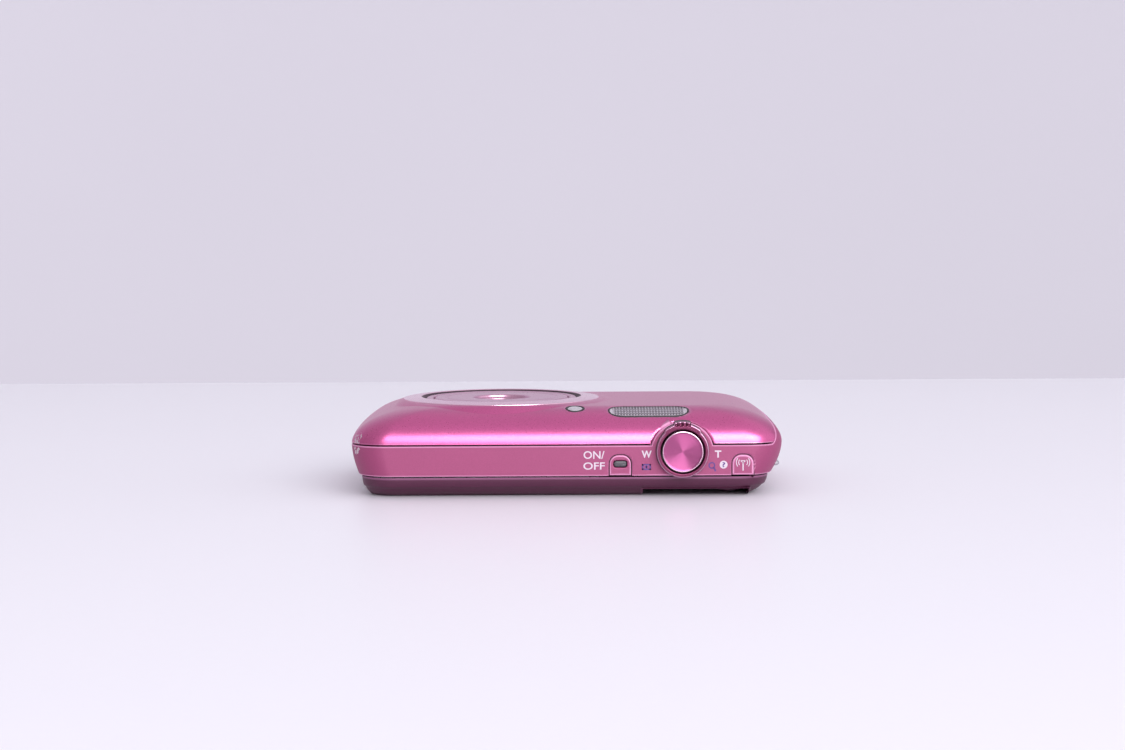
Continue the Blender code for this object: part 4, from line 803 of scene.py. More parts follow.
def makeTopPlate():
    # over the zoom lever the upper edge follows the arch: x = R cos t, z = H sin t
    left, right, _, corner = section(body["seamZ"])
    seam = body["seamZ"] - body["gap"]
    lowest = math.asin((seam - shutter["at"][1]) / arch["height"])
    turn = np.linspace(math.pi - lowest, lowest, 76)
    archX = shutter["at"][0] + arch["radius"] * np.cos(turn)

    def shareOf(x):
        return (x / bowAt(halfHeight) + left - corner) / (left + right - 2 * corner)

    ends = [float(shareOf(archX[0])), float(shareOf(archX[-1]))]
    before = wayRound((
        ((0, splitShare, 180), (0, 0, 180), 90), ((0, 0, 180), (0, 0, 270), 26),
        ((0, 0, 270), (ends[0], 0, 270), 190),
    ))
    over = np.column_stack([shareOf(archX), 0 * archX, 0 * archX + 270])
    after = wayRound((
        ((ends[1], 0, 270), (1, 0, 270), 44), ((1, 0, 270), (1, 0, 360), 30),
        ((1, 0, 360), (1, splitShare, 360), 110), ((1, splitShare, 360), (1, splitShare, 360), 1),
    ))
    way = np.concatenate([before, over, after[1:]])
    grid = beltGrid(way)
    arched = slice(len(before), len(before) + len(over))
    rim = np.stack([archX, shutter["at"][1] + arch["height"] * np.sin(turn)], -1)
    out = np.stack([np.cos(turn) / arch["radius"], np.sin(turn) / arch["height"]], -1)
    inner = rim - out / np.linalg.norm(out, axis=1, keepdims=True) * 0.2 * mm
    share = np.linspace(0, 1, belt["rows"])[:, None]
    foot = grid[1, arched]
    grid[1:-2, arched, 0] = foot[:, 0] + (inner[:, 0] - foot[:, 0]) * share
    grid[1:-2, arched, 2] = foot[:, 2] + (inner[:, 1] - foot[:, 2]) * share
    grid[1:-2, arched, 1] = -halfHeight
    for row, depth in ((-2, 0.2 * mm), (-1, arch["depth"])):
        grid[row, arched] = np.column_stack([rim[:, 0], 0 * archX - halfHeight + depth, rim[:, 1]])
    faces = gridFaces(*grid.shape[:2])
    edge = beltEdge(grid.shape)
    points = grid.reshape(-1, 3)

    def onTop(centres):
        return centres[:, 1] < -halfHeight + 0.5 * mm

    def onGrip(centres):
        return centres[:, 0] > halfWidth - 4 * mm

    holes = [(outlineHole(keyOutline(keyHole["gap"]) + np.array([x, 0])), [0, 2], onTop, asItIs)
             for x in keyAt.values()]
    holes.append((circleHole(shutter["at"], shutter["radius"] + 0.25 * mm), [0, 2], onTop, asItIs))
    holes.append((boxHole(connector["at"], np.array(connector["half"]) + connector["gap"], 0.8 * mm),
                  [1, 2], onGrip, onGripEnd))
    holes.append((boxHole(eyelet["at"], eyelet["half"], 0.6 * mm), [1, 2], onGrip, onGripEnd))
    for distance, axes, where, refit in holes:
        faces = carve(points, faces, edge, distance, axes, where, refit)
    return addPiece("topPlate", points, faces, "pink_plastic", "root", ("top_cover",), edge=edge,
                    wall=shell["plastic"], awayFrom=bodyMiddle)


def makeBaseCover():
    # the base side's own stretch of the belt, with its door, tripod, screw and speaker holes
    way = wayRound((
        ((1, splitShare + 0.008, 0), (1, 1, 0), 8), ((1, 1, 0), (1, 1, 90), 26),
        ((1, 1, 90), (0, 1, 90), 210),
        ((0, 1, 90), (0, 1, 180), 26), ((0, 1, 180), (0, splitShare + 0.008, 180), 8),
        ((0, splitShare + 0.008, 180), (0, splitShare + 0.008, 180), 1),
    ))
    grid = beltGrid(way)
    faces, edge, points = gridFaces(*grid.shape[:2]), beltEdge(grid.shape), grid.reshape(-1, 3)

    def onBase(centres):
        return centres[:, 1] > halfHeight - mm

    middle = (sum(door["x"]) / 2, sum(door["z"]) / 2)
    half = ((door["x"][1] - door["x"][0]) / 2 + door["gap"],
            (door["z"][1] - door["z"][0]) / 2 + door["gap"])
    holes = [boxHole(middle, half, 0.9 * mm)]
    holes.append(circleHole((tripod["x"], tripod["z"]), tripod["radius"] + tripod["rim"] + 0.1 * mm))
    holes += [circleHole((x, tripod["z"]), screw["hole"]) for x in screw["x"]]
    holes += [circleHole((speaker["x"] + speaker["apart"] * k, tripod["z"]), speaker["radius"])
              for k in speaker["holes"]]
    for distance in holes:
        faces = carve(points, faces, edge, distance, [0, 2], onBase, onSlope)
    return addPiece("baseCover", points, faces, "pink_plastic", "root", ("base_cover",), edge=edge,
                    wall=shell["plastic"], awayFrom=bodyMiddle)


panel = {"x": (16.5 * mm, 39.6 * mm), "depth": 1.2 * mm, "rimRise": 0.45 * mm,
         "farAbove": (28 * mm, 0, 500 * mm)}
window = {"x": (-41.6 * mm, 15.0 * mm), "halfY": 21.4 * mm, "corner": 1.2 * mm, "gap": 0.15 * mm}
rearLedge = {"depth": 0.35 * mm, "top": 2.25 * mm, "foot": 0.6 * mm}
keyFace = -0.5 * mm
selector = {"at": (29.0 * mm, -3.0 * mm), "radius": 8.6 * mm, "ok": 3.8 * mm, "hollow": 0.28 * mm}
roundKeys = {"movie_button": (35.6 * mm, 19.0 * mm, 2.5 * mm),
             "charge_lamp": (20.9 * mm, 19.0 * mm, 0.8 * mm)}
squareKeys = {"mode_button": (22.4 * mm, 10.4 * mm), "playback_button": (35.6 * mm, 10.4 * mm),
              "menu_button": (22.4 * mm, -16.4 * mm), "delete_button": (35.6 * mm, -16.4 * mm)}
keySize = (6.6 * mm, 3.6 * mm, 1.2 * mm)


def makeRearShell():
    # down the side in a quarter turn with a small ledge a third of the way, then over the flat back
    # to the window's edge
    way = wholeWay()
    turn = np.linspace(0, quarter, 26)
    z = (body["rearTop"] - body["gap"]) * (1 - np.sin(turn))
    rows = []
    for level in z:
        ledge = smoothStep((rearLedge["top"] - level) / rearLedge["depth"])
        ledge = ledge * smoothStep(level / rearLedge["foot"]) * rearLedge["depth"]
        x, y = outlineAt(way, level, ledge)
        rows.append(np.stack([x, y, 0 * x + level], -1))
    middle = np.array([sum(window["x"]) / 2, 0.0])
    bottom = rows[-1]
    angles = np.arctan2(bottom[:, 1] - middle[1], bottom[:, 0] - middle[0])
    frameSize = (window["x"][1] - window["x"][0] + 2 * window["gap"], 2 * (window["halfY"] + window["gap"]))
    hole = byAngle(oblong(*frameSize, window["corner"]) + middle, middle, angles)
    for share in np.linspace(0, 1, 46)[1:]:
        flat = bottom[:, :2] * (1 - share) + hole * share
        rows.append(np.column_stack([flat, 0 * flat[:, 0]]))
    rows.append(np.column_stack([hole, 0 * hole[:, 0] + 0.9 * mm]))
    grid = np.array(rows)
    faces, points = gridFaces(*grid.shape[:2], False, True), grid.reshape(-1, 3)
    # the top rows carry the edge mark: a painted highlight along the upper edge
    edge = np.zeros(len(points))
    edge[: 2 * len(way)] = 1.0
    middle = (sum(panel["x"]) / 2, 0.0)
    half = ((panel["x"][1] - panel["x"][0]) / 2, panel["depth"] + panel["rimRise"])

    def refit(moved):
        side = moved[:, 2] > 0.02 * mm
        moved[side, 1] = np.sign(moved[side, 1]) * section(moved[side, 2])[2]
        moved[~side, 2] = 0
        return moved

    faces = carve(points, faces, edge, boxHole(middle, half), [0, 2],
                  lambda centres: centres[:, 2] < 3 * mm, refit)
    # its darker colour is painted shade of the side turned down to the table
    return addPiece("rearShell", points, faces, "plum_plastic", "root", ("rear_cover",), edge=edge,
                    awayFrom=bodyMiddle)


def makeKeyPanel():
    # the sunk floor under the thumb: its own fine grid with a wall up each long side
    x = np.linspace(panel["x"][0], panel["x"][1], 84)
    share = np.linspace(-1, 1, 150)[:, None]
    level = panel["depth"] + panel["rimRise"] * smoothStep((np.abs(share) - 0.9) / 0.1)

    def inside(x, z):
        # the panel's length at x, just within the form at height z
        _, right, halfY, corner = section(z)
        past = np.clip(x / bowAt(halfY) - (right - corner), 0, corner)
        y = share * (halfY - corner + np.sqrt(corner**2 - past**2) - 0.05 * mm)
        return np.stack(np.broadcast_arrays(x, y, z), -1)

    def wall(x):
        return np.concatenate([inside(x, level * k + 0.02 * mm * (1 - k)) for k in np.linspace(0, 1, 6)], 1)

    grid = np.concatenate([wall(x[0]), inside(x[None], level), wall(x[-1])[:, ::-1]], 1)
    faces, points = gridFaces(*grid.shape[:2]), grid.reshape(-1, 3)
    edge = np.zeros(len(points))
    holes = [circleHole((selector["at"][0], -selector["at"][1]), selector["radius"] + 0.2 * mm)]
    holes += [circleHole((a, -b), radius + 0.15 * mm) for a, b, radius in roundKeys.values()]
    holes += [boxHole((a, -b), (keySize[0] / 2 + 0.15 * mm, keySize[1] / 2 + 0.15 * mm), keySize[2])
              for a, b in squareKeys.values()]
    for distance in holes:
        faces = carve(points, faces, edge, distance, [0, 1], lambda centres: centres[:, 2] > mm, asItIs)
    return addPiece("keyPanel", points, faces, "plum_plastic", "root", edge=edge,
                    awayFrom=panel["farAbove"])


# lens

ring = {"inner": 18.05 * mm, "outer": 22.35 * mm, "top": 20.05 * mm, "foot": 16.9 * mm}


def makeLens():
    # a flat trim ring whose outer lip overhangs the skirt, then two barrels with fine turned steps
    place = (lensX, lensY, 0)
    inner, outer, top = ring["inner"], ring["outer"], ring["top"]
    profile = [(inner + 0.2 * mm, ring["foot"]), (inner + 0.2 * mm, top - 0.12 * mm),
               (inner + 0.4 * mm, top - 0.01 * mm), (inner + 1.1 * mm, top),
               (outer - 0.5 * mm, top - 0.32 * mm), (outer, top - 0.42 * mm),
               (outer - 0.06 * mm, top - 0.72 * mm), (outer - 0.7 * mm, ring["foot"])]
    revolve("trimRing", softened(profile, 0.12 * mm, 3), "ring_metal", "front", place, "root",
            ("lens_ring",), steps=220, closed=True, bright=(outer - 0.28 * mm, outer))
    profile = inMm((15.65, 7), (17.35, 7), (17.35, 18.9), (17.1, 19.05), (17.1, 19.55), (16.9, 19.7),
                   (15.85, 19.7), (15.65, 19.45))
    revolve("outerBarrel", softened(profile, 0.08 * mm, 3), "barrel_metal", "front", place, "outer_barrel",
            ("outer_barrel",), steps=200, closed=True, bright=(16.85 * mm, 17.0 * mm))
    profile = inMm((15.35, 7.4), (15.35, 19.2), (15.05, 19.7), (13.1, 19.7), (12.95, 19.56), (12.6, 19.56),
                   (12.45, 19.7), (9.4, 19.68), (6.75, 19.65), (6.5, 19.5), (6.4, 19.1), (5.1, 19.0),
                   (5.0, 18.85), (5.0, 18.2), (13.75, 18.2), (13.75, 7.4))
    revolve("innerBarrel", softened(profile, 0.07 * mm, 3), "barrel_metal", "front", place, "inner_barrel",
            ("inner_barrel",), steps=200, closed=True, bright=(14.95 * mm, 15.2 * mm))
    # a seat round the outer barrel so that the space beside it is closed, coloured dark as painted shade in
    # the gap
    profile = inMm((17.42, 16.2), (17.42, 18.9), (18.12, 19.9), (18.3, 19.94), (18.3, 16.2))
    revolve("barrelShadeSeat", softened(profile, 0.05 * mm, 3), "dark_line", "front", place, closed=True)


# top controls


def makeShutter():
    # a spun disc a little hollow in the middle, with a polished rim whose highlight is painted paler
    radius, top = shutter["radius"], shutter["proud"]
    share = np.linspace(0, 1, 14)
    dish = np.column_stack([share * (radius - 0.42 * mm), top - 0.17 * mm + 0.11 * mm * share**2])
    rim = [(radius - 0.3 * mm, top - 0.01 * mm), (radius - 0.2 * mm, top),
           (radius - 0.08 * mm, top - 0.04 * mm), (radius, top - 0.16 * mm), (radius, 0.5 * mm),
           (1.6 * mm, 0.5 * mm), (1.6 * mm, -2.2 * mm), (0, -2.2 * mm)]
    revolve("shutterDisc", np.vstack([dish, rim]), "spun_metal", "top", (*shutter["at"], halfHeight),
            "shutter_button", ("shutter_button",), steps=180,
            bright=(radius - 0.24 * mm, radius - 0.07 * mm))


lever = {"inner": 4.76 * mm, "outer": 5.65 * mm, "shoulder": 6.0 * mm, "tab": 6.5 * mm, "top": 2.0 * mm,
         "ridges": (-0.95 * mm, 0.0, 0.95 * mm)}


def makeLever():
    # the outer edge's radius swells twice towards the front: r = ring + shoulder step + tab step
    angle = np.linspace(0, 2 * np.pi, 720, endpoint=False)
    fromTab = np.abs(np.degrees(angle) - 90)
    swell = (lever["shoulder"] - lever["outer"]) * smoothStep((45 - fromTab) / 7)
    tab = (lever["tab"] - lever["shoulder"]) * smoothStep((18.5 - fromTab) / 3.5)
    radius = lever["outer"] + swell + tab
    outer = np.stack([radius * np.cos(angle), radius * np.sin(angle)], 1)

    def ridges(x, y):
        raised = sum(np.exp(-(((x - place) / (0.17 * mm)) ** 2)) for place in lever["ridges"])
        outward = smoothStep((y - 5.35 * mm) / (0.35 * mm))
        across = smoothStep((1.75 * mm - np.abs(x)) / (0.3 * mm))
        return 0.28 * mm * outward * across * (raised - 1)

    # the ring's pink is darkened by the shade mark: painted shade, with its edge highlight dimmed
    openPad("zoomRing", outer, circle(lever["inner"]), 0.3 * mm, lever["top"], "pink_metal", "top",
            (*shutter["at"], halfHeight), "zoom_lever", ("zoom_lever",), roundEdge=0.22 * mm, count=420,
            across=22, relief=ridges, shade=0.88)
    # painted shade: a dark ring laid in the gap round the lever
    openPad("leverShadeRing", outer * (1 + 0.16 * mm / radius[:, None]), circle(shutter["radius"] + 0.28 * mm),
            -0.9 * mm, 0.03 * mm, "dark_line", "top", (*shutter["at"], halfHeight), roundEdge=0.02 * mm,
            count=420)


lampSlot = {"z": 7.3 * mm, "size": (2.7 * mm, 1.25 * mm, 0.6 * mm), "gap": 0.15 * mm}


def makeTopKeys():
    # shallow domed keys, each outlined by its gap
    width, height, corner = lampSlot["size"]
    slotHole = oblong(width + 2 * lampSlot["gap"], height + 2 * lampSlot["gap"], corner + 0.1 * mm)
    openPad("powerKey", keyOutline(), slotHole + np.array([0, lampSlot["z"]]), -1.4 * mm, 0.1 * mm,
            "pink_plastic", "top", (keyAt["power"], 0, halfHeight), "power_button", ("power_button",),
            roundEdge=0.22 * mm, count=200, middle=(0, lampSlot["z"]))
    pad("powerLamp", oblong(width, height, corner), -1.5 * mm, -0.12 * mm, "power_lens", "top",
        (keyAt["power"], lampSlot["z"], halfHeight), "root", ("power_lamp",), roundEdge=0.12 * mm,
        dome=0.05 * mm)
    pad("wirelessKey", keyOutline(), -1.4 * mm, 0.07 * mm, "pink_plastic", "top",
        (keyAt["wireless"], 0, halfHeight), "wireless_button", ("wireless_button",), roundEdge=0.22 * mm,
        dome=0.03 * mm, count=160)
    # each key's gap is laid with a dark ribbon: painted shade
    for name, x in keyAt.items():
        rim = keyOutline(keyHole["gap"] * 0.5)
        points, faces = stroke(rim, 0.26 * mm, 0.35 * mm)
        addPiece(name + "Gap", onSide(points, "top", (x, 0, halfHeight - 0.95 * mm)), faces, "dark_line")


# words on the top plate: their lower left and upper right corners in mm, and how much bolder they are cut
legends = {
    "legendOn": ("ON/", (3.6, 8.45), (8.15, 10.15), 0.012),
    "legendOff": ("OFF", (3.55, 6.1), (8.2, 7.7), 0.012),
    "legendWide": ("W", (16.15, 8.6), (18.35, 10.2), 0.03),
    "legendTele": ("T", (32.0, 8.6), (33.4, 10.15), 0.03),
}


def makeLegends():
    # generic letters and signs in pale and violet ink
    face = (0, 0, halfHeight)
    for name, (words, low, high, bold) in legends.items():
        lettering(name, words, *inMm(low, high), "white_ink", "top", face, bold=bold)
    strokes = [stroke(inMm((16.2, level), (18.2, level)), 0.34 * mm) for level in (6.13, 7.12)]
    strokes += [stroke(inMm((x, 6.0), (x, 7.25)), 0.36 * mm) for x in (16.38, 18.02)]
    strokes += [stroke(inMm((16.75, 6.63), (17.65, 6.63)), 0.24 * mm),
                stroke(inMm((17.2, 6.3), (17.2, 6.95)), 0.3 * mm)]
    drawn("signThumbnails", strokes, "violet_ink", "top", face)
    glass = arcPoints((31.35 * mm, 6.9 * mm), 0.6 * mm, 0, 360, 33)[:-1]
    strokes = [stroke(glass, 0.3 * mm, closed=True),
               stroke(inMm((31.75, 6.42), (32.0, 6.05), (32.15, 5.6)), 0.38 * mm)]
    drawn("signMagnifier", strokes, "violet_ink", "top", face)
    pad("signHelp", circle(0.86 * mm, 48), -0.02 * mm, 0.02 * mm, "white_ink", "top",
        (33.9 * mm, 7.05 * mm, halfHeight), roundEdge=0.01 * mm, count=60)
    lettering("signHelpMark", "?", *inMm((33.6, 6.5), (34.25, 7.6)), "violet_ink", "top",
              (0, 0, halfHeight + 0.02 * mm), bold=0.02)
    # the mast: a pole with a fork on top and two bows to each side of it
    x, mast = keyAt["wireless"], 7.55 * mm
    fork = inMm((-0.5, 0.35), (0, -0.12), (0.5, 0.35)) + (x, mast)
    bar = inMm((-0.5, 0.37), (0.5, 0.37)) + (x, mast)
    strokes = [stroke([(x, 5.75 * mm), (x, mast)], 0.26 * mm), stroke(fork, 0.2 * mm),
               stroke(bar, 0.16 * mm)]
    for reach in (0.95, 1.45):
        for middle in (0, 180):
            bow = arcPoints((x, mast), reach * mm, middle - 38, middle + 38, 12)
            strokes.append(stroke(bow, 0.17 * mm))
    drawn("signMast", strokes, "white_ink", "top", (0, 0, halfHeight + 0.09 * mm), "wireless_button")


# flash and lamp on the front


def makeFlash():
    # the window follows the form, with upright ribs z = form + a cos(pi n u) that fade at the ends
    outline = flashOutline(-0.12 * mm)
    halfLength = outline[:, 0].max()
    upper = outline[outline[:, 1] >= 0]
    upper = upper[np.argsort(upper[:, 0])]
    u = np.linspace(-1, 1, 420)
    x = u * halfLength
    reach = np.interp(x, upper[:, 0], upper[:, 1])
    v = np.linspace(-1, 1, 22)[:, None]
    fade = smoothStep((1 - np.abs(u)) / 0.12) * smoothStep((1 - np.abs(v)) / 0.12)
    ribs = flash["ribHeight"] * np.cos(math.pi * flash["ribs"] * u)[None] * fade
    # painted light: pale streaks along and across the ribs, and pale ends where the reflector shows
    # through, laid on as the edge mark
    paintedStreaks = 0.42 + 0.18 * np.cos(math.pi * flash["ribs"] * u) + 0.4 * np.cos(5 * math.pi * v)
    paintedStreaks = np.maximum(paintedStreaks, smoothStep((np.abs(u) - 0.84) / 0.08))
    local = np.stack([np.broadcast_to(x, ribs.shape), v * reach, ribs - 0.1 * mm], -1)
    addPiece("flashWindow", onSide(local, "front", flash["at"]), gridFaces(22, 420), "clear_plastic",
             "root", ("flash_window",), edge=paintedStreaks, wall=0.55 * mm, awayFrom=flash["under"])
    openPad("flashGasket", flashOutline(0.1 * mm), flashOutline(-0.22 * mm), -0.9 * mm, 0.03 * mm,
            "black_plastic", "front", flash["at"], roundEdge=0.05 * mm, count=260)
    # the polished trough behind it: a flat U in section, turned up at both ends
    u, v = np.linspace(-1, 1, 60)[None], np.linspace(-1, 1, 24)[:, None]
    long, wide, deep = flash["trough"]
    depth = deep * (1 - v**2) * (1 - u**8)
    local = np.stack([u * long + 0 * v, v * wide + 0 * u, -0.75 * mm - depth], -1)
    addPiece("flashTrough", onSide(local, "front", flash["at"]), gridFaces(24, 60), "reflector",
             wall=-0.15 * mm, awayFrom=flash["under"])


def makeLamp():
    radius = lamp["radius"]
    profile = [(0, 0.12 * mm), (0.4 * radius, 0.10 * mm), (0.68 * radius, 0.02 * mm),
               (0.8 * radius, -0.1 * mm), (0.8 * radius, -1.2 * mm), (0, -1.2 * mm)]
    revolve("focusLamp", profile, "lamp_lens", "front", lamp["at"], "root", ("focus_lamp",), steps=72)
    openPad("focusLampRim", circle(radius), circle(0.82 * radius), -1.0 * mm, 0.06 * mm, "black_plastic",
            "front", lamp["at"], roundEdge=0.08 * mm, count=96)


# back


def makeBack():
    middle = sum(window["x"]) / 2
    size = (window["x"][1] - window["x"][0], 2 * window["halfY"], window["corner"])
    pad("screenGlass", oblong(*size), -0.9 * mm, 0.0, "screen_cover", "back", (middle, 0, 0), "root",
        ("display_window",), roundEdge=0.2 * mm, count=240)
    openPad("screenBorder", oblong(size[0] - 3.4 * mm, size[1] - 3.4 * mm, 0.8 * mm),
            oblong(size[0] - 4.2 * mm, size[1] - 4.2 * mm, 0.5 * mm), -0.02 * mm, 0.0, "grey_plastic",
            "back", (middle, 0, -0.005 * mm), roundEdge=0.005 * mm, count=240)
    # the key caps share the rear's darker colour: painted shade
    for node, at in squareKeys.items():
        pad(node + "Cap", oblong(*keySize), -1.5 * mm, keyFace, "plum_plastic", "back", (*at, 0), node,
            (node,), roundEdge=0.28 * mm, dome=0.05 * mm)
    a, b, radius = roundKeys["movie_button"]
    pad("movieCap", circle(radius), -1.5 * mm, keyFace, "plum_plastic", "back", (a, b, 0), "movie_button",
        ("movie_button",), roundEdge=0.3 * mm, dome=-0.12 * mm)
    pad("movieDot", circle(0.7 * mm, 48), keyFace - 0.14 * mm, keyFace - 0.08 * mm, "red_ink", "back",
        (a, b, 0), "movie_button", roundEdge=0.02 * mm)
    a, b, radius = roundKeys["charge_lamp"]
    pad("chargeLens", circle(radius, 48), -1.5 * mm, keyFace - 0.25 * mm, "lamp_lens", "back", (a, b, 0),
        "root", ("charge_lamp",), roundEdge=0.1 * mm, dome=0.12 * mm, count=60)
    # the selector dips to a finger hollow round its middle, with four small pointers
    radius, inner = selector["radius"], selector["ok"] + 0.25 * mm

    def hollow(x, y):
        share = (np.hypot(x, y) - inner) / (radius - inner)
        return -selector["hollow"] * np.sin(np.clip(share, 0, 1) * math.pi)

    openPad("selectorRing", circle(radius), circle(inner), -1.2 * mm, keyFace, "barrel_metal", "back",
            (*selector["at"], 0), "multi_selector", ("multi_selector",), roundEdge=0.3 * mm, count=200,
            across=14, relief=hollow)
    pad("okCap", circle(selector["ok"]), -1.5 * mm, keyFace - 0.02 * mm, "barrel_metal", "back",
        (*selector["at"], 0), "ok_button", ("ok_button",), roundEdge=0.3 * mm, dome=-0.1 * mm)
    signs = []
    for quarterTurn in range(4):
        heading = quarterTurn * quarter
        tip = inMm((-0.55, 6.3), (0, 6.9), (0.55, 6.3))
        turned = np.stack([tip[:, 0] * math.cos(heading) - tip[:, 1] * math.sin(heading),
                           tip[:, 0] * math.sin(heading) + tip[:, 1] * math.cos(heading)], 1)
        signs.append(stroke(turned, 0.22 * mm, 0.03 * mm))
    drawn("selectorPointers", signs, "white_ink", "back", (*selector["at"], keyFace - 0.17 * mm),
          "multi_selector")
    lettering("okMark", "OK", *inMm((-1.2, -0.6), (1.2, 0.6)), "dark_line", "back",
              (*selector["at"], keyFace - 0.10 * mm), "ok_button")
    makeKeySigns(keyFace + 0.05 * mm)


def makeKeySigns(level):
    # small line signs: a camera, a play triangle, three menu lines and a bin
    camera = [stroke(oblong(2.2 * mm, 1.4 * mm, 0.2 * mm), 0.16 * mm, closed=True),
              stroke(circle(0.4 * mm, 24), 0.14 * mm, closed=True),
              stroke(inMm((-0.9, 0.82), (-0.4, 0.82)), 0.18 * mm)]
    play = [stroke(oblong(2.3 * mm, 1.6 * mm, 0.2 * mm), 0.15 * mm, closed=True),
            stroke(inMm((-0.4, -0.45), (-0.4, 0.45), (0.5, 0)), 0.2 * mm, closed=True)]
    menu = [stroke(inMm((-1.0, y), (1.0, y)), 0.2 * mm) for y in (-0.5, 0, 0.5)]
    binSign = [stroke(inMm((-0.6, 0.45), (-0.45, -0.75), (0.45, -0.75), (0.6, 0.45)), 0.16 * mm),
               stroke(inMm((-0.85, 0.55), (0.85, 0.55)), 0.18 * mm),
               stroke(inMm((-0.25, 0.8), (0.25, 0.8)), 0.18 * mm)]
    for node, strokes in (("mode_button", camera), ("playback_button", play), ("menu_button", menu),
                          ("delete_button", binSign)):
        drawn(node + "Sign", strokes, "white_ink", "back", (*squareKeys[node], level), node)


# base and grip end


def makeBase():
    half = ((door["x"][1] - door["x"][0]) / 2, (door["z"][1] - door["z"][0]) / 2)
    place = (-sum(door["x"]) / 2, sum(door["z"]) / 2)

    def fingerGrooves(x, y):
        # three of them beside the catch
        ridge = sum(np.exp(-(((x - start) / (0.16 * mm)) ** 2))
                    for start in (10.2 * mm, 11.1 * mm, 12.0 * mm))
        return -0.12 * mm * ridge * smoothStep((1.9 * mm - np.abs(y)) / (0.3 * mm))

    outline = oblong(2 * half[0], 2 * half[1], 0.8 * mm)
    slotMiddle = np.array([-doorSlot["at"][0] - place[0], doorSlot["at"][1] - place[1]])
    hole = oblong(*doorSlot["size"]) + slotMiddle
    openPad("doorPanel", outline, hole, -1.1 * mm, -0.02 * mm, "pink_plastic", "base", place,
            "battery_door", ("battery_door",), roundEdge=0.18 * mm, count=420, across=26,
            relief=fingerGrooves, middle=slotMiddle)
    low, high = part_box("door_catch")

    def grooves(x, y):
        wave = 0.5 + 0.5 * np.cos(x / (0.35 * mm) * math.pi)
        return -0.12 * mm * wave * smoothStep((2.2 * mm - np.abs(x)) / (0.3 * mm))

    size = (high[0] - low[0], 1.5 * mm, 0.3 * mm)
    pad("catchSlider", oblong(*size), low[1] - halfHeight, high[1] - halfHeight, "grey_plastic", "base",
        (-(low[0] + high[0]) / 2, doorSlot["at"][1], halfHeight), "door_catch", ("door_catch",),
        roundEdge=0.15 * mm, count=200, rings=24, relief=grooves)
    # tripod socket: a rimmed bore with its thread's turns, r = radius - bite (1 - cos(2 pi n t)) / 2
    t = np.linspace(0, 1, 56)
    bite = tripod["bite"] * (1 - np.cos(2 * np.pi * tripod["turns"] * t)) / 2
    thread = np.column_stack([tripod["radius"] - bite, -t * tripod["thread"]])
    rim = tripod["radius"] + tripod["rim"]
    mouth = [(rim, -tripod["depth"]), (rim, -0.2 * mm), (rim - 0.15 * mm, -0.03 * mm),
             (tripod["radius"] + 0.25 * mm, -0.03 * mm)]
    profile = np.vstack([mouth, thread, [(0, -tripod["thread"]), (0, -tripod["depth"])]])
    revolve("tripodBush", profile, "steel", "base", (-tripod["x"], tripod["z"], halfHeight), "root",
            ("tripod_socket",), steps=96)

    def cross(x, y):
        arm = smoothStep((0.28 * mm - np.minimum(np.abs(x), np.abs(y))) / (0.12 * mm))
        return -0.45 * mm * arm * smoothStep((0.95 * mm - np.hypot(x, y)) / (0.15 * mm))

    for index, x in enumerate(screw["x"]):
        pad(f"baseScrew{index + 1}", circle(screw["head"]), -2.0 * mm, -0.12 * mm, "steel", "base",
            (-x, tripod["z"], halfHeight), "root", (f"base_screw_{index + 1}",), roundEdge=0.25 * mm,
            count=96, rings=26, relief=cross)


def makeGripEnd():
    def notch(x, y):
        return -0.35 * mm * np.exp(-(((x + 5.7 * mm) / (0.5 * mm)) ** 2 + (y / (1.2 * mm)) ** 2))

    size = (2 * connector["half"][0], 2 * connector["half"][1], 0.7 * mm)
    pad("connectorFlap", oblong(*size), -0.9 * mm, -0.02 * mm, "soft_rubber", "grip", connector["at"],
        "connector_cover", ("connector_cover",), roundEdge=0.22 * mm, count=200, rings=16, relief=notch)
    # the strap bar: a round wire carried along a bridge-shaped path
    low, high = (np.array(corner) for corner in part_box("strap_eyelet"))
    wire = 0.5 * (high[2] - low[2])
    path = softened([(low[1] + wire, low[0]), (low[1] + wire, high[0] - wire),
                     (high[1] - wire, high[0] - wire), (high[1] - wire, low[0])], 1.1 * mm, 8, closed=False)
    along = np.gradient(path, axis=0)
    side = np.stack([along[:, 1], -along[:, 0]], 1) / np.linalg.norm(along, axis=1, keepdims=True)
    turn = np.linspace(0, 2 * np.pi, 20, endpoint=False)
    rows = path[:, None] + side[:, None] * wire * np.cos(turn)[None, :, None]
    height = np.broadcast_to((low[2] + high[2]) / 2 + wire * np.sin(turn), rows.shape[:2])
    local = np.stack([rows[..., 0], height, rows[..., 1]], -1)
    caps = [np.broadcast_to(local[k].mean(0), (1, 20, 3)) for k in (0, -1)]
    local = np.concatenate([caps[0], local, caps[1]])
    addPiece("strapBar", onSide(local, "grip", (0, 0, 0)), gridFaces(len(local), 20, False, True),
             "steel", "root", ("strap_eyelet",))


# table, backdrop, light and camera

table = {"near": -0.75, "far": 0.312, "half": 1.3, "thick": 0.03, "edge": 0.004, "columns": 60}
backdrop = {"y": 1.6, "bow": 0.5, "half": 2.6, "foot": -0.9, "height": 1.9}


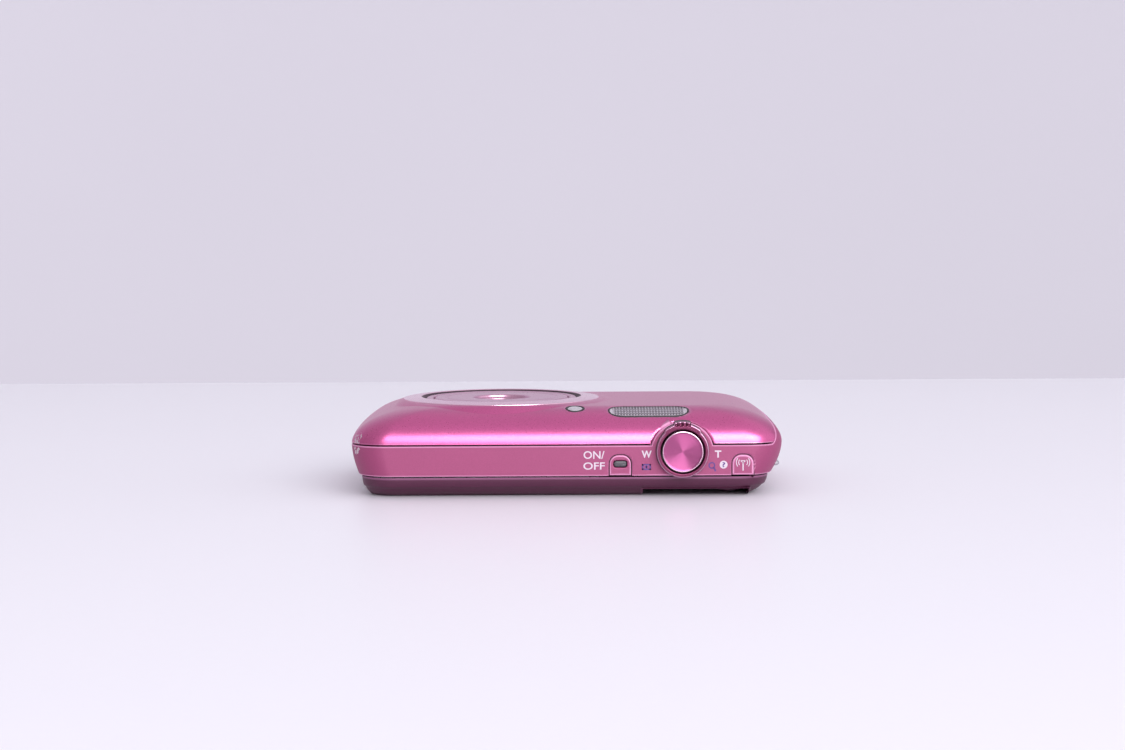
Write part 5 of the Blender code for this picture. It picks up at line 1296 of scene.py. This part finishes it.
def makeStage():
    # the table top runs level and rolls over its far edge, the backdrop stands well behind it
    turn = np.linspace(0, quarter, 7)
    near, edge, columns = table["near"], table["edge"], table["columns"]
    level = np.linspace(near + 0.01, table["far"] - 0.01, 40)
    far = np.column_stack([table["far"] + edge * np.sin(turn), edge * (np.cos(turn) - 1)])
    profile = np.vstack([[(near, -table["thick"]), (near, 0)], np.column_stack([level, 0 * level]),
                         far, [(table["far"] + edge, -table["thick"])]])
    x = np.linspace(-table["half"], table["half"], columns)
    points = np.stack(np.broadcast_arrays(x, profile[:, :1], profile[:, 1:]), -1)
    floor = addStage("tableTop", points, gridFaces(len(profile), columns, True, False), "table_paint")
    # y = far side - bow u^2
    u, v = np.linspace(-1, 1, 60)[None], np.linspace(0, 1, 40)[:, None]
    points = np.stack(np.broadcast_arrays(
        u * backdrop["half"], backdrop["y"] - backdrop["bow"] * u**2,
        backdrop["foot"] + (backdrop["height"] - backdrop["foot"]) * v,
    ), -1)
    wall = addStage("backdropSheet", points, gridFaces(40, 60), "backdrop_paint")


def addStage(name, points, faces, slot):
    mesh = bpy.data.meshes.new(name)
    mesh.from_pydata(points.reshape(-1, 3).tolist(), [], faces.tolist())
    work = bmesh.new()
    work.from_mesh(mesh)
    bmesh.ops.recalc_face_normals(work, faces=work.faces)
    work.to_mesh(mesh)
    work.free()
    mesh.shade_smooth()
    mesh.materials.append(materials[slot])
    piece = bpy.data.objects.new(name, mesh)
    bpy.context.scene.collection.objects.link(piece)
    return piece


# elevation and azimuth in degrees as seen from the camera's middle, azimuth to the right of the viewer
lights = {
    "front": {"azimuth": 20, "elevation": 26, "away": 1.25, "size": (1.2, 0.5), "power": 9,
              "colour": (1.0, 0.97, 1.0)},
    "band": {"azimuth": 19, "elevation": 21, "away": 1.3, "size": (1.05, 0.86), "power": 15,
             "colour": (1.0, 0.98, 1.0), "glossOnly": True},
}
room = {"colour": (0.88, 0.865, 0.92, 1), "left": 0.55, "right": 1.35}


def makeLights():
    for name, look in lights.items():
        light = bpy.data.lights.new(name, "AREA")
        light.shape = "RECTANGLE"
        light.size, light.size_y = look["size"]
        light.energy = look["power"]
        light.color = look["colour"]
        holder = bpy.data.objects.new(name + "Light", light)
        up, side = math.radians(look["elevation"]), math.radians(look["azimuth"])
        holder.location = (look["away"] * math.cos(up) * math.sin(side),
                           -look["away"] * math.cos(up) * math.cos(side), look["away"] * math.sin(up))
        holder.rotation_euler = (quarter - up, 0, side)
        holder.visible_diffuse = not look.get("glossOnly", False)
        bpy.context.scene.collection.objects.link(holder)
    # the room is a little darker to the left: brightness = a + b x of the direction
    world = bpy.data.worlds.new("room")
    world.use_nodes = True
    tree = world.node_tree
    direction = tree.nodes.new("ShaderNodeTexCoord")
    split = tree.nodes.new("ShaderNodeSeparateXYZ")
    ramp = tree.nodes.new("ShaderNodeMapRange")
    tree.links.new(direction.outputs["Generated"], split.inputs[0])
    tree.links.new(split.outputs[0], ramp.inputs[0])
    for index, number in enumerate((-1.0, 1.0, room["left"], room["right"])):
        ramp.inputs[index + 1].default_value = number
    tree.nodes["Background"].inputs[0].default_value = room["colour"]
    tree.links.new(ramp.outputs[0], tree.nodes["Background"].inputs[1])
    bpy.context.scene.world = world


eye = {"at": (-0.68 * mm, -480 * mm, 59 * mm), "down": 4.1, "roll": 0.3, "lens": 67.1}


def makeCamera():
    lens = bpy.data.cameras.new("viewer")
    lens.lens, lens.sensor_width, lens.clip_start = eye["lens"], 36, 0.01
    viewer = bpy.data.objects.new("viewer", lens)
    viewer.location = eye["at"]
    viewer.rotation_euler = (math.radians(90 - eye["down"]), math.radians(eye["roll"]), 0)
    bpy.context.scene.collection.objects.link(viewer)
    bpy.context.scene.camera = viewer
    bpy.context.scene.view_settings.view_transform = "Standard"


makeFrontShell()
makeTopPlate()
makeBaseCover()
makeRearShell()
makeKeyPanel()
print("shells made")
makeLens()
makeShutter()
makeLever()
makeTopKeys()
makeLegends()
makeFlash()
makeLamp()
print("lens, controls and front details made")
makeBack()
makeBase()
makeGripEnd()
print("back, base and grip end made")
makeStage()
makeLights()
makeCamera()
